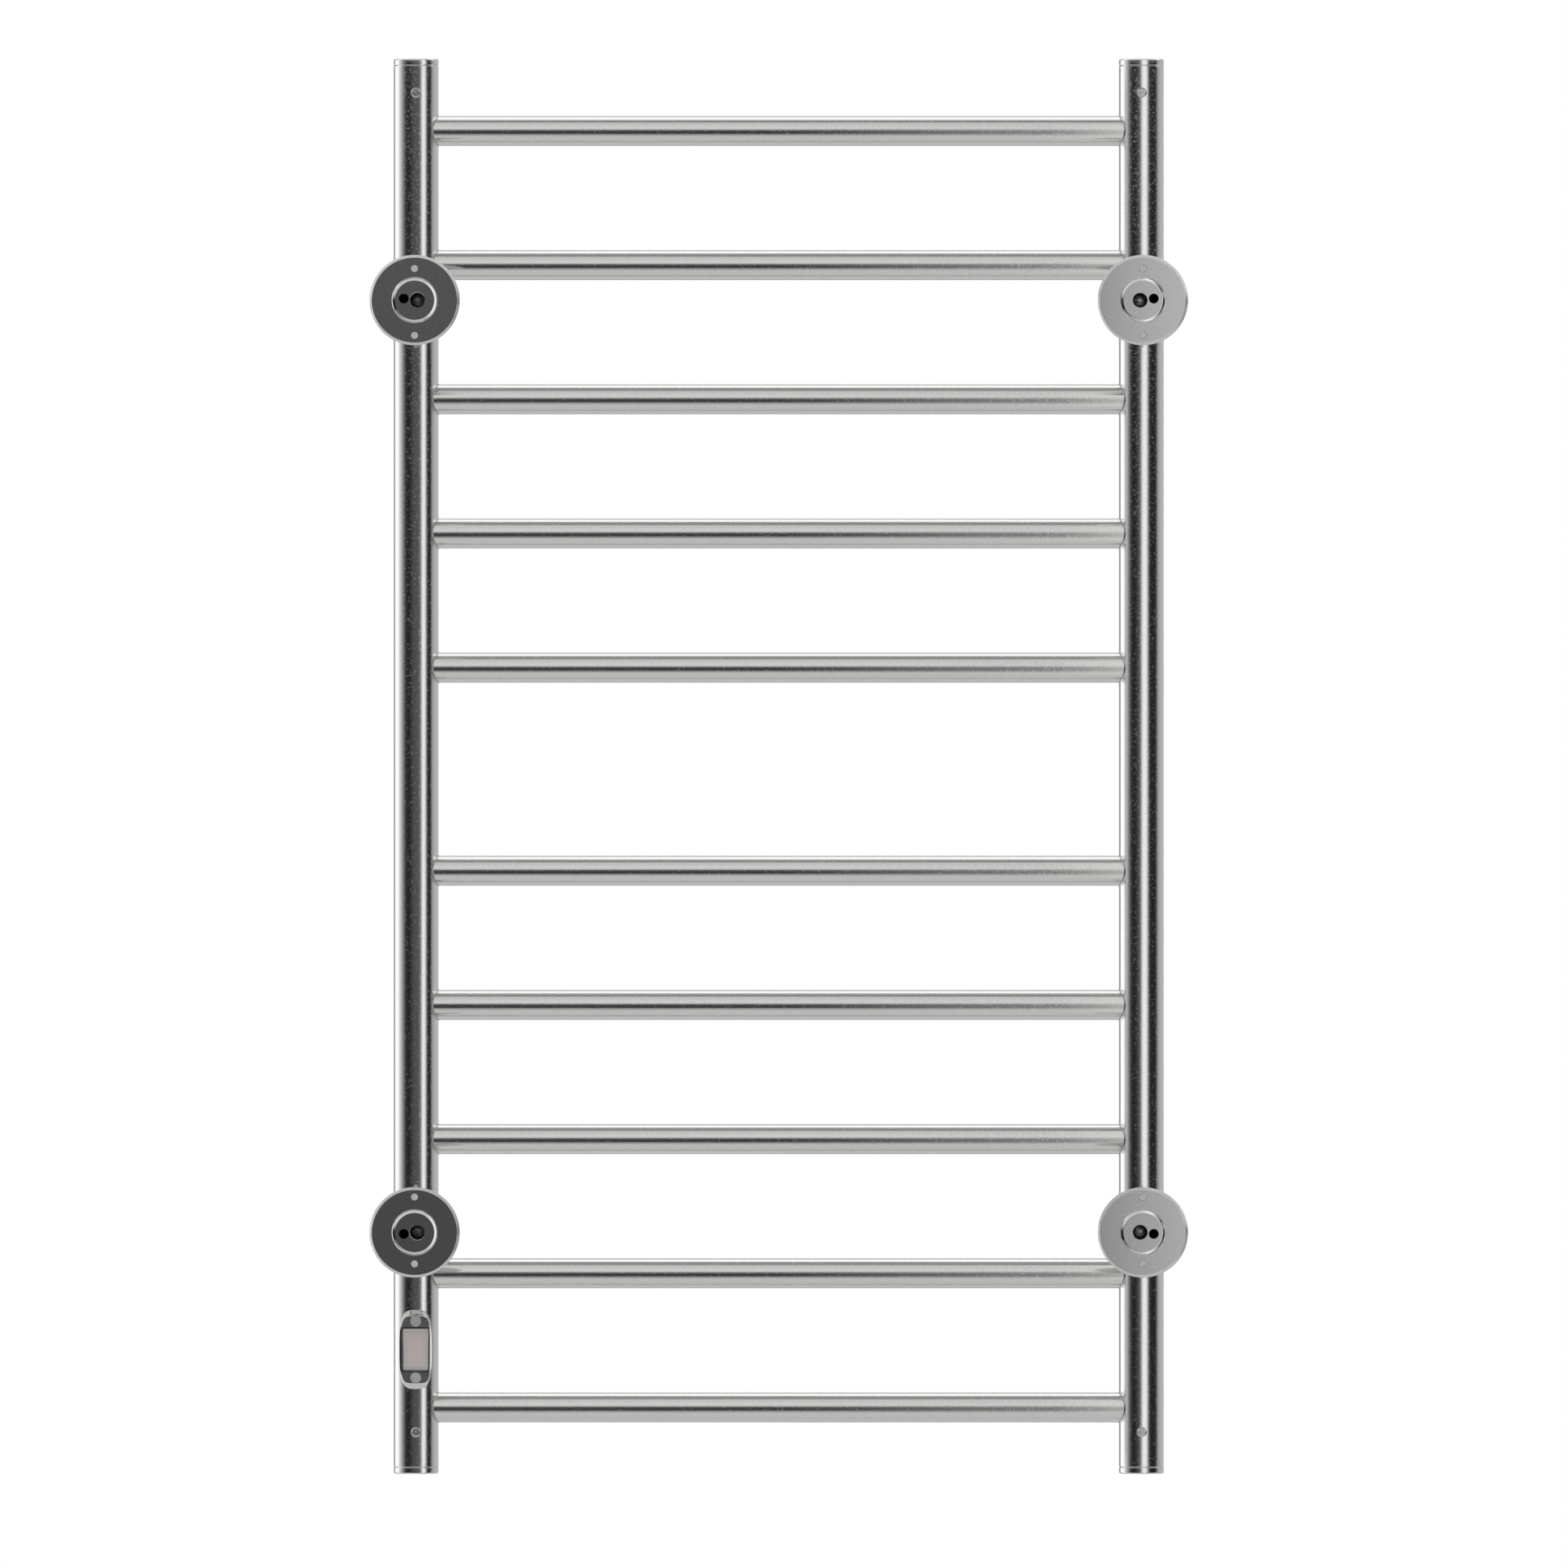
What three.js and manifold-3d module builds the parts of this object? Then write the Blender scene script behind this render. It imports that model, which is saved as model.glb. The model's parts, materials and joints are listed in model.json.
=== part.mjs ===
// Wall-mounted ladder towel warmer in polished stainless tube, heated by a dry
// electric cable that runs through every rung.
//
// Millimetres. +X to the right as seen from the wall, +Y from the wall into the
// room, +Z up. y = 0 is the wall, x = 0 and z = 0 the middle of the four posts.

import * as THREE from 'three';
import { mergeVertices } from 'three/addons/utils/BufferGeometryUtils.js';
import Module from 'manifold-3d';

const wasm = await Module();
wasm.setup();

// ---------------------------------------------------------------- dimensions

const gap = 0.3; // play left wherever two pieces meet

// Ladder
const uprightSpacing = 500;
const uprightDiameter = 30.8;
const uprightWall = 1.5;
const rungDiameter = 20.7;
const rungWall = 1.2;
const rungPitch = 92.5;
const rungsPerBank = 5;
const bankGap = 140; // between the axes of the two banks' nearest rungs
const topMargin = 49.5; // from the top end to the first rung's axis
const bottomMargin = 45.5;
const rungEntry = 1.1; // least length of rung inside the upright's bore

// End caps and the screws that hold them
const capHeight = 4.3;
const capEdge = 1;
const capEdgeKnee = 0.3; // where its two facets meet, in from both faces
const spigotClear = 1.7; // between its end and the nearest rung
const spigotWall = 3;
const capScrewFromTop = 23.5;
const capScrewFromBottom = 28.9;
const capScrewHead = 7;
const capScrewHeadHeight = 1;
const capScrewBevel = [0.6, 0.5]; // width and height
const capScrewShank = 4;
const capScrewLength = 8;
const capScrewSocket = 2.5;
const capScrewSocketDepth = 1.6;

// Wall posts
const standoff = 72; // wall to the uprights' axes
const upperPostBelowRung = 25.5; // from the second rung's axis
const lowerPostAboveRung = 29.5; // from the last rung but one
const postDiameter = 30.4;
const postBevelWidth = 1.9; // round its end face
const postBevelDepth = 0.79;
const boreDiameter = 10; // takes the wall pin
const boreChamfer = 0.5;
const boreDepth = 40;
const boreInboard = 1.85;
const cableHoleDiameter = 6.8;
const cableHoleOutboard = 7.4;
const cableHoleOutward = 1;
const grubDiameter = 5;
const grubLength = 8;
const grubFromWall = 14;
const grubBite = 0.5; // how far the tip stands into the bore
const grubSocket = 2.5;
const grubSocketDepth = 2.5;
const grubChamfer = 0.5;

// Rosettes
const rosetteDiameter = 62;
const rosetteThickness = 5;
const rosetteBevel = 1.7;
const rosetteLeadIn = 0.3; // chamfer at the mouth of its hole
const padDiameter = 5;
const padThickness = 1.5;
const padEdge = 0.2;
const padOutward = 21.6; // pad centre from the post's, on the side of the ladder's end
const padInward = 24.3; // and on the side of its middle

// Switch
const switchAboveRung = 40.4; // from the lowest rung's axis
const bezelSideLand = 1.25; // bezel beyond the upright's cut-out, at the sides
const bezelEndLand = 3.95; // and beyond the screw caps
const bezelProud = 5.5; // beyond the upright's surface
const bezelFloor = 4.1; // bezel left in front of the switch body
const bezelEdge = 1.6; // width of the bevel round its face
const bezelEdgeDrop = 2.2;
const bezelFullness = 3.4; // 2 is an ellipse, more is squarer
const bezelCorners = 40;
const gasketThickness = 0.8;
const windowWidth = 18;
const windowLength = 30.8;
const bezelScrewLand = 0.95; // metal between the cut-out and a screw's hole
const bezelScrewDiameter = 3;
const bezelScrewHead = 5.6;
const bezelScrewHeadHeight = 1.2;
const bezelScrewLength = 6;
const bezelScrewSocket = 2;
const bezelScrewSocketDepth = 0.9;
const screwCapDiameter = 7.7;
const screwCapThickness = 1.1;
const screwCapEdge = 0.2;
const pivotDepth = 7.4; // rocker's axis behind the bezel's face
const rockerTilt = 4.5; // degrees to each side of level
const rockerCrown = 7.9; // rocker's height at its raised edges, from its axis
const rockerDip = 6.9; // and in its middle
const rockerSkirt = 2; // height of its lower edge
const rockerWeb = 1; // thickness left over the boss's root
const bossWidth = 6; // round the plunger
const bossEnd = 3; // behind the rocker's axis
const trunnionDiameter = 2.4;
const bodyWall = 0.7;
const bodyDepth = 20;
const bodyFloor = 1.2;
const plungerDiameter = 2.4;
const plungerLength = 6;
const plungerBore = 5; // end of its pocket, from the rocker's axis
const plungerTipClear = 0.4; // off the contact arm
const plungerTipBevel = 0.5;
const springWire = 0.4;
const springTurns = 5;
const armLength = 17;
const armWidth = 5;
const armThickness = 0.8;
const armTilt = 5;
const armBehindPivot = 9;
const armRock = 0.1; // more room at its fulcrum, where it rocks
const contactFromMiddle = 7;
const terminalWidth = 4.8;
const terminalThickness = 0.8;
const terminalTail = 4.5; // length outside the switch body

// Heating cable and what it is joined to, all in the tubes
const cableDiameter = 5;
const cableBend = 12;
const sealDiameter = 7;
const sealLength = 20;
const sealTaper = 1;
const sealFromUpright = 30;
const spliceDiameter = 9;
const spliceLength = 36;
const spliceTaper = 1.5;
const spliceFromUpright = 60;
const cutoutDiameter = 7;
const cutoutLength = 16;
const cutoutTaper = 0.8;
const cutoutFromUpright = 28;
const leadDiameter = 1.8;
const leadFromBladeEnd = 1.5;
const leadDrop = 12; // straight down behind the switch

// ------------------------------------------------------------ derived places

const uprightRadius = uprightDiameter / 2;
const uprightBore = uprightRadius - uprightWall;
const rungRadius = rungDiameter / 2;
const rungHole = rungRadius + gap;
const rungReach = Math.sqrt(uprightBore ** 2 - rungRadius ** 2) - rungEntry;
const rungLength = uprightSpacing - 2 * rungReach;

const rungCount = 2 * rungsPerBank;
const ladderHeight = topMargin + 2 * (rungsPerBank - 1) * rungPitch + bankGap + bottomMargin;
const upperPostFromTop = topMargin + rungPitch + upperPostBelowRung;
const lowerPostFromBottom = bottomMargin + rungPitch + lowerPostAboveRung;
const postSpacing = ladderHeight - upperPostFromTop - lowerPostFromBottom;
const topEnd = postSpacing / 2 + upperPostFromTop;
const bottomEnd = -postSpacing / 2 - lowerPostFromBottom;

const rungHeights = [];
for (let i = 0; i < rungCount; i += 1) {
  const bank = i < rungsPerBank ? 0 : bankGap - rungPitch;
  rungHeights.push(topEnd - topMargin - i * rungPitch - bank);
}
const lowestRung = rungHeights[rungCount - 1];

const nearestRung = Math.min(topMargin, bottomMargin) - rungRadius;
const spigotLength = nearestRung - capHeight - spigotClear;

const backSurface = standoff - uprightRadius; // of an upright, on the wall side
const capScrewHeights = [topEnd - capScrewFromTop, bottomEnd + capScrewFromBottom];

const switchX = -uprightSpacing / 2;
const switchZ = lowestRung + switchAboveRung;
const bezelFace = backSurface - bezelProud;
const bodyFront = bezelFace + bezelFloor + gap;
const pivotY = bezelFace + pivotDepth;
const rockerWidth = windowWidth - 2 * gap;
const rockerRadius = Math.hypot(windowLength / 2 - gap, pivotY - bodyFront + gap);
const skirtAngle = Math.asin(rockerSkirt / rockerRadius) - THREE.MathUtils.degToRad(rockerTilt);
const cavityLength = 2 * (rockerRadius * Math.cos(skirtAngle) + gap);
const cavityWidth = rockerWidth + 2 * gap;
const bodyWidth = cavityWidth + 2 * bodyWall;
const bodyLength = cavityLength + 2 * bodyWall;
const switchHoleWidth = bodyWidth + 2 * gap;
const switchHoleLength = bodyLength + 2 * gap;
const bodyBack = bodyFront + bodyDepth;
const bezelScrewHole = bezelScrewDiameter + 2 * gap;
const bezelScrewSpacing = switchHoleLength + bezelScrewHole + 2 * bezelScrewLand;
const bezelWidth = switchHoleWidth + 2 * bezelSideLand;
const bezelLength = bezelScrewSpacing + screwCapDiameter + 2 * bezelEndLand;
const armY = pivotY + armBehindPivot;
const plungerTip = armBehindPivot - armThickness / 2 - plungerTipClear;

// ------------------------------------------------------------------ materials

const steel = { color: 0xc9c7c4, roughness: 0.08, metalness: 1 };
const zinc = { color: 0x9a9a9a, roughness: 0.4, metalness: 1 };
const brass = { color: 0xb08d4a, roughness: 0.35, metalness: 1 };
const blackPlastic = { color: 0x1c1c1d, roughness: 0.5, metalness: 0 };
const greyPlastic = { color: 0x8f8c8b, roughness: 0.45, metalness: 0 };
const rockerPlastic = { color: 0xab9e9d, roughness: 0.35, metalness: 0 };
const rubber = { color: 0x77777a, roughness: 0.85, metalness: 0 };
const cableSheath = { color: 0x8c2f22, roughness: 0.6, metalness: 0 };

// -------------------------------------------------------------- shape helpers

// One closed mesh with shared corners, no collapsed triangles, faces outwards.
function closed(geometry) {
  const bare = new THREE.BufferGeometry();
  bare.setAttribute('position', geometry.getAttribute('position'));
  bare.setIndex(geometry.getIndex());
  const merged = mergeVertices(bare, 1e-4);
  const corners = merged.getAttribute('position').array;
  const kept = [];
  let volume = 0;
  const [a, b, c] = [new THREE.Vector3(), new THREE.Vector3(), new THREE.Vector3()];
  const index = merged.getIndex().array;
  for (let i = 0; i < index.length; i += 3) {
    const [p, q, r] = index.subarray(i, i + 3);
    if (p !== q && q !== r && r !== p) {
      kept.push(p, q, r);
      a.fromArray(corners, 3 * p);
      b.fromArray(corners, 3 * q);
      c.fromArray(corners, 3 * r);
      volume += a.dot(b.cross(c));
    }
  }
  merged.setIndex(volume < 0 ? kept.reverse() : kept);
  return merged;
}

function solid(geometry) {
  const mesh = closed(geometry);
  return new wasm.Manifold(new wasm.Mesh({
    numProp: 3,
    vertProperties: new Float32Array(mesh.getAttribute('position').array),
    triVerts: new Uint32Array(mesh.getIndex().array),
  }));
}

function surface(body) {
  const { vertProperties, triVerts } = body.getMesh();
  const geometry = new THREE.BufferGeometry();
  geometry.setAttribute('position', new THREE.BufferAttribute(vertProperties, 3));
  geometry.setIndex(new THREE.BufferAttribute(triVerts, 1));
  return geometry;
}

function cut(body, ...tools) {
  return tools.reduce((rest, tool) => rest.subtract(tool), body);
}

// Turned about Y from [radius, y] pairs; a ring closes on its first pair.
function turned(profile, sides) {
  const points = profile.map(([radius, y]) => new THREE.Vector2(radius, y));
  if (profile[0][0] > 0) {
    points.push(points[0].clone());
  }
  return closed(new THREE.LatheGeometry(points, sides));
}

function disc(radius, low, high, sides, chamferLow = 0, chamferHigh = 0) {
  return turned([
    [0, low],
    [radius - chamferLow, low],
    ...(chamferLow ? [[radius, low + chamferLow]] : []),
    ...(chamferHigh ? [[radius, high - chamferHigh]] : []),
    [radius - chamferHigh, high],
    [0, high],
  ], sides);
}

function tube(radius, bore, low, high, sides) {
  return turned([[bore, low], [radius, low], [radius, high], [bore, high]], sides);
}

const alongZ = (geometry) => geometry.rotateX(Math.PI / 2);
const alongX = (geometry) => geometry.rotateZ(-Math.PI / 2);

function box(width, depth, height, x = 0, y = 0, z = 0) {
  return new THREE.BoxGeometry(width, depth, height).translate(x, y, z);
}

// Six-sided socket about Y, by its width across the flats.
function hexSocket(acrossFlats, low, high) {
  return disc(acrossFlats / Math.sqrt(3), low, high, 6);
}

// An outline in X and Z, given depth from y = low to y = high.
function slab(shape, low, high) {
  const geometry = new THREE.ExtrudeGeometry(shape, {
    depth: high - low,
    bevelEnabled: false,
  });
  return geometry.rotateX(Math.PI / 2).translate(0, high, 0);
}

// An oval between an ellipse and a rectangle, its corner points set by a formula.
function oval(width, length) {
  const corner = (i) => {
    const angle = (2 * Math.PI * i) / bezelCorners;
    const swell = (value) => Math.sign(value) * Math.abs(value) ** (2 / bezelFullness);
    return [(width / 2) * swell(Math.cos(angle)), (length / 2) * swell(Math.sin(angle))];
  };
  const shape = new THREE.Shape();
  shape.moveTo(...corner(0));
  for (let i = 1; i < bezelCorners; i += 1) {
    shape.lineTo(...corner(i));
  }
  shape.closePath();
  return shape;
}

// A route whose sections sit exactly on its own stations.
class Route extends THREE.Curve {
  constructor(stations) {
    super();
    this.stations = stations;
  }

  station(u) {
    return this.stations[Math.round(u * (this.stations.length - 1))];
  }

  getPoint(u) {
    return this.station(u).point.clone();
  }

  getPointAt(u) {
    return this.getPoint(u);
  }

  getTangentAt(u) {
    return this.station(u).tangent.clone();
  }
}

function roundSection(radius, sides) {
  const corners = [];
  for (let i = 0; i < sides; i += 1) {
    const angle = (2 * Math.PI * i) / sides;
    corners.push(new THREE.Vector2(radius * Math.cos(angle), radius * Math.sin(angle)));
  }
  return new THREE.Shape(corners);
}

function swept(path, radius, sides, steps) {
  return closed(new THREE.ExtrudeGeometry(roundSection(radius, sides), {
    steps,
    extrudePath: path,
    bevelEnabled: false,
  }));
}

// ------------------------------------------------------------------- assembly

const rail = new THREE.Group();

function add(name, geometry, finish, position = [0, 0, 0], parent = rail) {
  const mesh = new THREE.Mesh(geometry, new THREE.MeshStandardMaterial(finish));
  mesh.name = name;
  mesh.position.set(...position);
  parent.add(mesh);
  return mesh;
}

const sides = [
  { name: 'left', x: -uprightSpacing / 2, outboard: -1 },
  { name: 'right', x: uprightSpacing / 2, outboard: 1 },
];
const ends = [
  { name: 'upper', z: postSpacing / 2, end: topEnd, outward: 1, screw: capScrewHeights[0] },
  { name: 'lower', z: -postSpacing / 2, end: bottomEnd, outward: -1, screw: capScrewHeights[1] },
];

// Uprights: tube, drilled for the rungs, the cable, the cap screws, the switch.
function upright(side) {
  const low = bottomEnd + capHeight + gap;
  const high = topEnd - capHeight - gap;
  let body = solid(alongZ(tube(uprightRadius, uprightBore, low, high, 28)));
  for (const z of rungHeights) {
    const hole = alongX(disc(rungHole, 0, uprightDiameter, 20)).rotateX(Math.PI / 20);
    if (side.outboard > 0) {
      hole.rotateZ(Math.PI);
    }
    body = cut(body, solid(hole.translate(0, 0, z)));
  }
  for (const end of ends) {
    const screw = disc(capScrewShank / 2 + gap, -uprightDiameter, 0, 12);
    const cable = disc(cableHoleDiameter / 2, -uprightDiameter, 0, 16);
    const outboard = side.outboard * cableHoleOutboard;
    screw.translate(0, 0, end.screw);
    cable.translate(outboard, 0, end.z + end.outward * cableHoleOutward);
    body = cut(body, solid(screw), solid(cable));
  }
  if (side.outboard < 0) {
    const [outside, inside] = [-uprightDiameter, -uprightRadius / 4];
    const middle = (outside + inside) / 2;
    const hole = box(switchHoleWidth, inside - outside, switchHoleLength, 0, middle, switchZ);
    body = cut(body, solid(hole));
    for (const sign of [-1, 1]) {
      const screw = disc(bezelScrewHole / 2, -uprightDiameter, 0, 12);
      screw.translate(0, 0, switchZ + (sign * bezelScrewSpacing) / 2);
      body = cut(body, solid(screw));
    }
  }
  return surface(body);
}

for (const side of sides) {
  add(`${side.name}_upright`, upright(side), steel, [side.x, standoff, 0]);
}

rungHeights.forEach((z, i) => {
  const geometry = tube(rungRadius, rungRadius - rungWall, -rungLength / 2, rungLength / 2, 20);
  const name = `rung_${String(i + 1).padStart(2, '0')}`;
  add(name, alongX(geometry), steel, [0, standoff, z]);
});

// End caps: a polished lid on a spigot, held by a screw through the upright.
function endCap() {
  const spigot = uprightBore - gap;
  const lid = turned([
    [0, capHeight],
    [0, capHeight - spigotWall],
    [spigot - spigotWall, capHeight - spigotWall],
    [spigot - spigotWall, -spigotLength],
    [spigot, -spigotLength],
    [spigot, 0],
    [uprightRadius, 0],
    [uprightRadius, capHeight - capEdge],
    [uprightRadius - capEdgeKnee, capHeight - capEdgeKnee],
    [uprightRadius - capEdge, capHeight],
  ].reverse(), 24);
  return alongZ(lid);
}

function capScrew() {
  const head = capScrewHead / 2;
  const [bevelWidth, bevelHeight] = capScrewBevel;
  const screw = turned([
    [0, 0],
    [head - bevelWidth, 0],
    [head, bevelHeight],
    [head, capScrewHeadHeight],
    [capScrewShank / 2, capScrewHeadHeight],
    [capScrewShank / 2, capScrewHeadHeight + capScrewLength],
    [0, capScrewHeadHeight + capScrewLength],
  ], 16);
  return surface(cut(solid(screw), solid(hexSocket(capScrewSocket, -1, capScrewSocketDepth))));
}

for (const side of sides) {
  for (const end of ends) {
    const tapped = disc(capScrewShank / 2 + gap, -uprightRadius, 0, 12);
    const fromSeat = end.outward * (end.screw - end.end) + capHeight;
    const cap = cut(solid(endCap()), solid(tapped.translate(0, 0, fromSeat)));
    const lid = add(`${side.name}_${end.name}_end_cap`, surface(cap), steel);
    lid.position.set(side.x, standoff, end.end - end.outward * capHeight);
    if (end.outward < 0) {
      lid.scale.z = -1;
    }
    const seat = backSurface - gap - capScrewHeadHeight;
    add(`${side.name}_${end.name}_cap_screw`, capScrew(), zinc, [side.x, seat, end.screw]);
  }
}

// Wall posts: saddled and welded to the upright, bored for a pin in the wall
// and drilled for the mains cable.
function post(side, end) {
  const radius = postDiameter / 2;
  const blank = turned([
    [0, 0],
    [radius - postBevelWidth, 0],
    [radius, postBevelDepth],
    [radius, standoff],
    [0, standoff],
  ], 24);
  const bore = turned([
    [0, -1],
    [boreDiameter / 2 + boreChamfer + 1, -1],
    [boreDiameter / 2, boreChamfer],
    [boreDiameter / 2, boreDepth],
    [0, boreDepth],
  ], 16).translate(-side.outboard * boreInboard, 0, 0);
  const cable = disc(cableHoleDiameter / 2, -1, standoff, 16);
  cable.translate(side.outboard * cableHoleOutboard, 0, end.outward * cableHoleOutward);
  const saddle = alongZ(disc(uprightRadius + gap, -postDiameter, postDiameter, 40));
  saddle.translate(0, standoff, 0);
  const grub = alongZ(disc(grubDiameter / 2 + gap, 0, postDiameter, 16));
  if (end.outward > 0) {
    grub.rotateX(Math.PI);
  }
  grub.translate(-side.outboard * boreInboard, grubFromWall, 0);
  return surface(cut(solid(blank), solid(bore), solid(cable), solid(saddle), solid(grub)));
}

function grubScrew() {
  const screw = disc(grubDiameter / 2, 0, grubLength, 16, grubChamfer);
  const socket = hexSocket(grubSocket, grubLength - grubSocketDepth, grubLength + 1);
  return alongZ(surface(cut(solid(screw), solid(socket))));
}

// Rosettes: a turned disc that slides on the post, with two pads let into the
// face that lies on the wall.
function rosette(end) {
  const hole = postDiameter / 2 + gap;
  const radius = rosetteDiameter / 2;
  const ring = turned([
    [hole + rosetteLeadIn, 0],
    [radius - rosetteBevel, 0],
    [radius, rosetteBevel],
    [radius, rosetteThickness - rosetteBevel],
    [radius - rosetteBevel, rosetteThickness],
    [hole, rosetteThickness],
    [hole, rosetteLeadIn],
  ], 32);
  const seats = padPlaces(end).map((z) => {
    const seat = disc(padDiameter / 2 + gap, -1, padThickness + gap, 10);
    return solid(seat.translate(0, 0, z));
  });
  return surface(cut(solid(ring), ...seats));
}

function padPlaces(end) {
  return [end.outward * padOutward, -end.outward * padInward];
}

for (const side of sides) {
  for (const end of ends) {
    const name = `${side.name}_${end.name}`;
    const bracket = new THREE.Group();
    bracket.position.set(side.x, 0, end.z);
    rail.add(bracket);
    add(`${name}_post`, post(side, end), steel, [0, 0, 0], bracket);
    const grub = add(`${name}_grub_screw`, grubScrew(), zinc, [0, 0, 0], bracket);
    const tip = end.outward * (grubBite - boreDiameter / 2);
    grub.position.set(-side.outboard * boreInboard, grubFromWall, tip);
    if (end.outward > 0) {
      grub.rotation.x = Math.PI;
    }
    add(`${name}_rosette`, rosette(end), steel, [0, 0, 0], bracket);
    padPlaces(end).forEach((z, i) => {
      const pad = disc(padDiameter / 2, 0, padThickness, 12, padEdge);
      add(`${name}_${['outer', 'inner'][i]}_pad`, pad, rubber, [0, 0, z], bracket);
    });
  }
}

// ---------------------------------------------------------------- the switch

const switchGroup = new THREE.Group();
switchGroup.position.set(switchX, 0, switchZ);
rail.add(switchGroup);

const gasketRadius = uprightRadius + gap;
const bezelSeat = gasketRadius + gasketThickness + gap;

function saddleCutter(radius, segments) {
  return solid(alongZ(disc(radius, -bezelLength, bezelLength, segments)).translate(0, standoff, 0));
}

function atBezelScrews(make) {
  return [-1, 1].map((sign) => solid(make().translate(0, 0, (sign * bezelScrewSpacing) / 2)));
}

function bezel() {
  const plate = new THREE.ExtrudeGeometry(oval(bezelWidth, bezelLength), {
    depth: standoff - bezelFace - 2 * bezelEdgeDrop,
    bevelThickness: bezelEdgeDrop,
    bevelSize: bezelEdge,
    bevelOffset: -bezelEdge,
    bevelSegments: 2,
  }).rotateX(Math.PI / 2).translate(0, standoff - bezelEdgeDrop, 0);
  const screwSeat = bezelFace + screwCapThickness + bezelScrewHeadHeight + 2 * gap;
  const capSeat = bezelFace + screwCapThickness + gap;
  const pocketY = bodyFront - gap + standoff / 2;
  return surface(cut(
    solid(plate),
    saddleCutter(bezelSeat, 72),
    solid(box(windowWidth, standoff, windowLength, 0, bezelFace, 0)),
    solid(box(switchHoleWidth, standoff, switchHoleLength, 0, pocketY, 0)),
    ...atBezelScrews(() => disc(screwCapDiameter / 2 + gap, bezelFace - 1, capSeat, 20)),
    ...atBezelScrews(() => disc(bezelScrewHead / 2 + gap, bezelFace, screwSeat, 16)),
    ...atBezelScrews(() => disc(bezelScrewHole / 2, bezelFace, standoff, 12)),
  ));
}
add('switch_bezel', bezel(), steel, [0, 0, 0], switchGroup);

function gasket() {
  const shape = oval(bezelWidth - 2 * gap, bezelLength - 2 * gap);
  const skin = solid(alongZ(tube(gasketRadius + gasketThickness, gasketRadius, -bezelLength, bezelLength, 48))
    .translate(0, standoff, 0));
  return surface(cut(
    solid(slab(shape, bezelFace, standoff)).intersect(skin),
    solid(box(switchHoleWidth, standoff, switchHoleLength, 0, bezelFace, 0)),
    ...atBezelScrews(() => disc(bezelScrewHole / 2, bezelFace, standoff, 12)),
  ));
}
add('switch_gasket', gasket(), rubber, [0, 0, 0], switchGroup);

function bezelScrew() {
  const low = bezelScrewHeadHeight;
  const screw = turned([
    [0, 0],
    [bezelScrewHead / 2, 0],
    [bezelScrewHead / 2, low],
    [bezelScrewDiameter / 2, low],
    [bezelScrewDiameter / 2, low + bezelScrewLength],
    [0, low + bezelScrewLength],
  ], 16);
  return surface(cut(solid(screw), solid(hexSocket(bezelScrewSocket, -1, bezelScrewSocketDepth))));
}

for (const [name, sign] of [['upper', 1], ['lower', -1]]) {
  const z = (sign * bezelScrewSpacing) / 2;
  const screwSeat = bezelFace + screwCapThickness + gap;
  const cap = disc(screwCapDiameter / 2, 0, screwCapThickness, 20, screwCapEdge);
  add(`switch_screw_cap_${name}`, cap, greyPlastic, [0, bezelFace, z], switchGroup);
  add(`switch_screw_${name}`, bezelScrew(), zinc, [0, screwSeat, z], switchGroup);
}

// Rocker: its ends are arcs about its own axis, so the slot round it stays even.
function rocker() {
  const crownEdge = Math.sqrt(rockerRadius ** 2 - rockerCrown ** 2);
  const skirtEdge = Math.sqrt(rockerRadius ** 2 - rockerSkirt ** 2);
  const bossHalf = bossWidth / 2;
  const bossRoot = rockerSkirt - rockerWeb;
  const profile = new THREE.Shape();
  profile.moveTo(crownEdge, rockerCrown);
  profile.lineTo(0, rockerDip);
  profile.lineTo(-crownEdge, rockerCrown);
  const left = Math.atan2(rockerCrown, -crownEdge);
  const right = Math.atan2(rockerSkirt, skirtEdge);
  profile.absarc(0, 0, rockerRadius, left, Math.PI - right, false);
  profile.lineTo(-bossHalf, bossRoot);
  profile.lineTo(-bossHalf, -bossEnd);
  profile.lineTo(bossHalf, -bossEnd);
  profile.lineTo(bossHalf, bossRoot);
  profile.absarc(0, 0, rockerRadius, right, Math.PI - left, false);
  const paddle = new THREE.ExtrudeGeometry(profile, {
    depth: rockerWidth,
    bevelEnabled: false,
    curveSegments: 5,
  });
  paddle.translate(0, 0, -rockerWidth / 2);
  // outline x runs up the rail, outline y towards the wall
  paddle.applyMatrix4(new THREE.Matrix4().makeBasis(
    new THREE.Vector3(0, 0, 1),
    new THREE.Vector3(0, -1, 0),
    new THREE.Vector3(1, 0, 0),
  ));
  const trunnions = alongX(disc(trunnionDiameter / 2, -bodyWidth / 2 + gap, bodyWidth / 2 - gap, 16));
  const pocket = disc(plungerDiameter / 2 + gap, -plungerBore, bossEnd + 1, 16);
  return surface(cut(solid(paddle).add(solid(trunnions)), solid(pocket)));
}

function springPath() {
  const radius = plungerDiameter / 2 - springWire / 2;
  const low = -plungerBore + gap + springWire / 2;
  const high = plungerTip - plungerLength - gap - springWire / 2;
  const stations = [];
  const perTurn = 8;
  for (let i = 0; i <= springTurns * perTurn; i += 1) {
    const angle = (2 * Math.PI * i) / perTurn;
    const rise = (high - low) / (springTurns * perTurn);
    const point = new THREE.Vector3(radius * Math.cos(angle), low + rise * i, radius * Math.sin(angle));
    const perRadian = (rise * perTurn) / (2 * Math.PI);
    const tangent = new THREE.Vector3(-radius * Math.sin(angle), perRadian, radius * Math.cos(angle));
    stations.push({ point, tangent: tangent.normalize() });
  }
  return new Route(stations);
}

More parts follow.
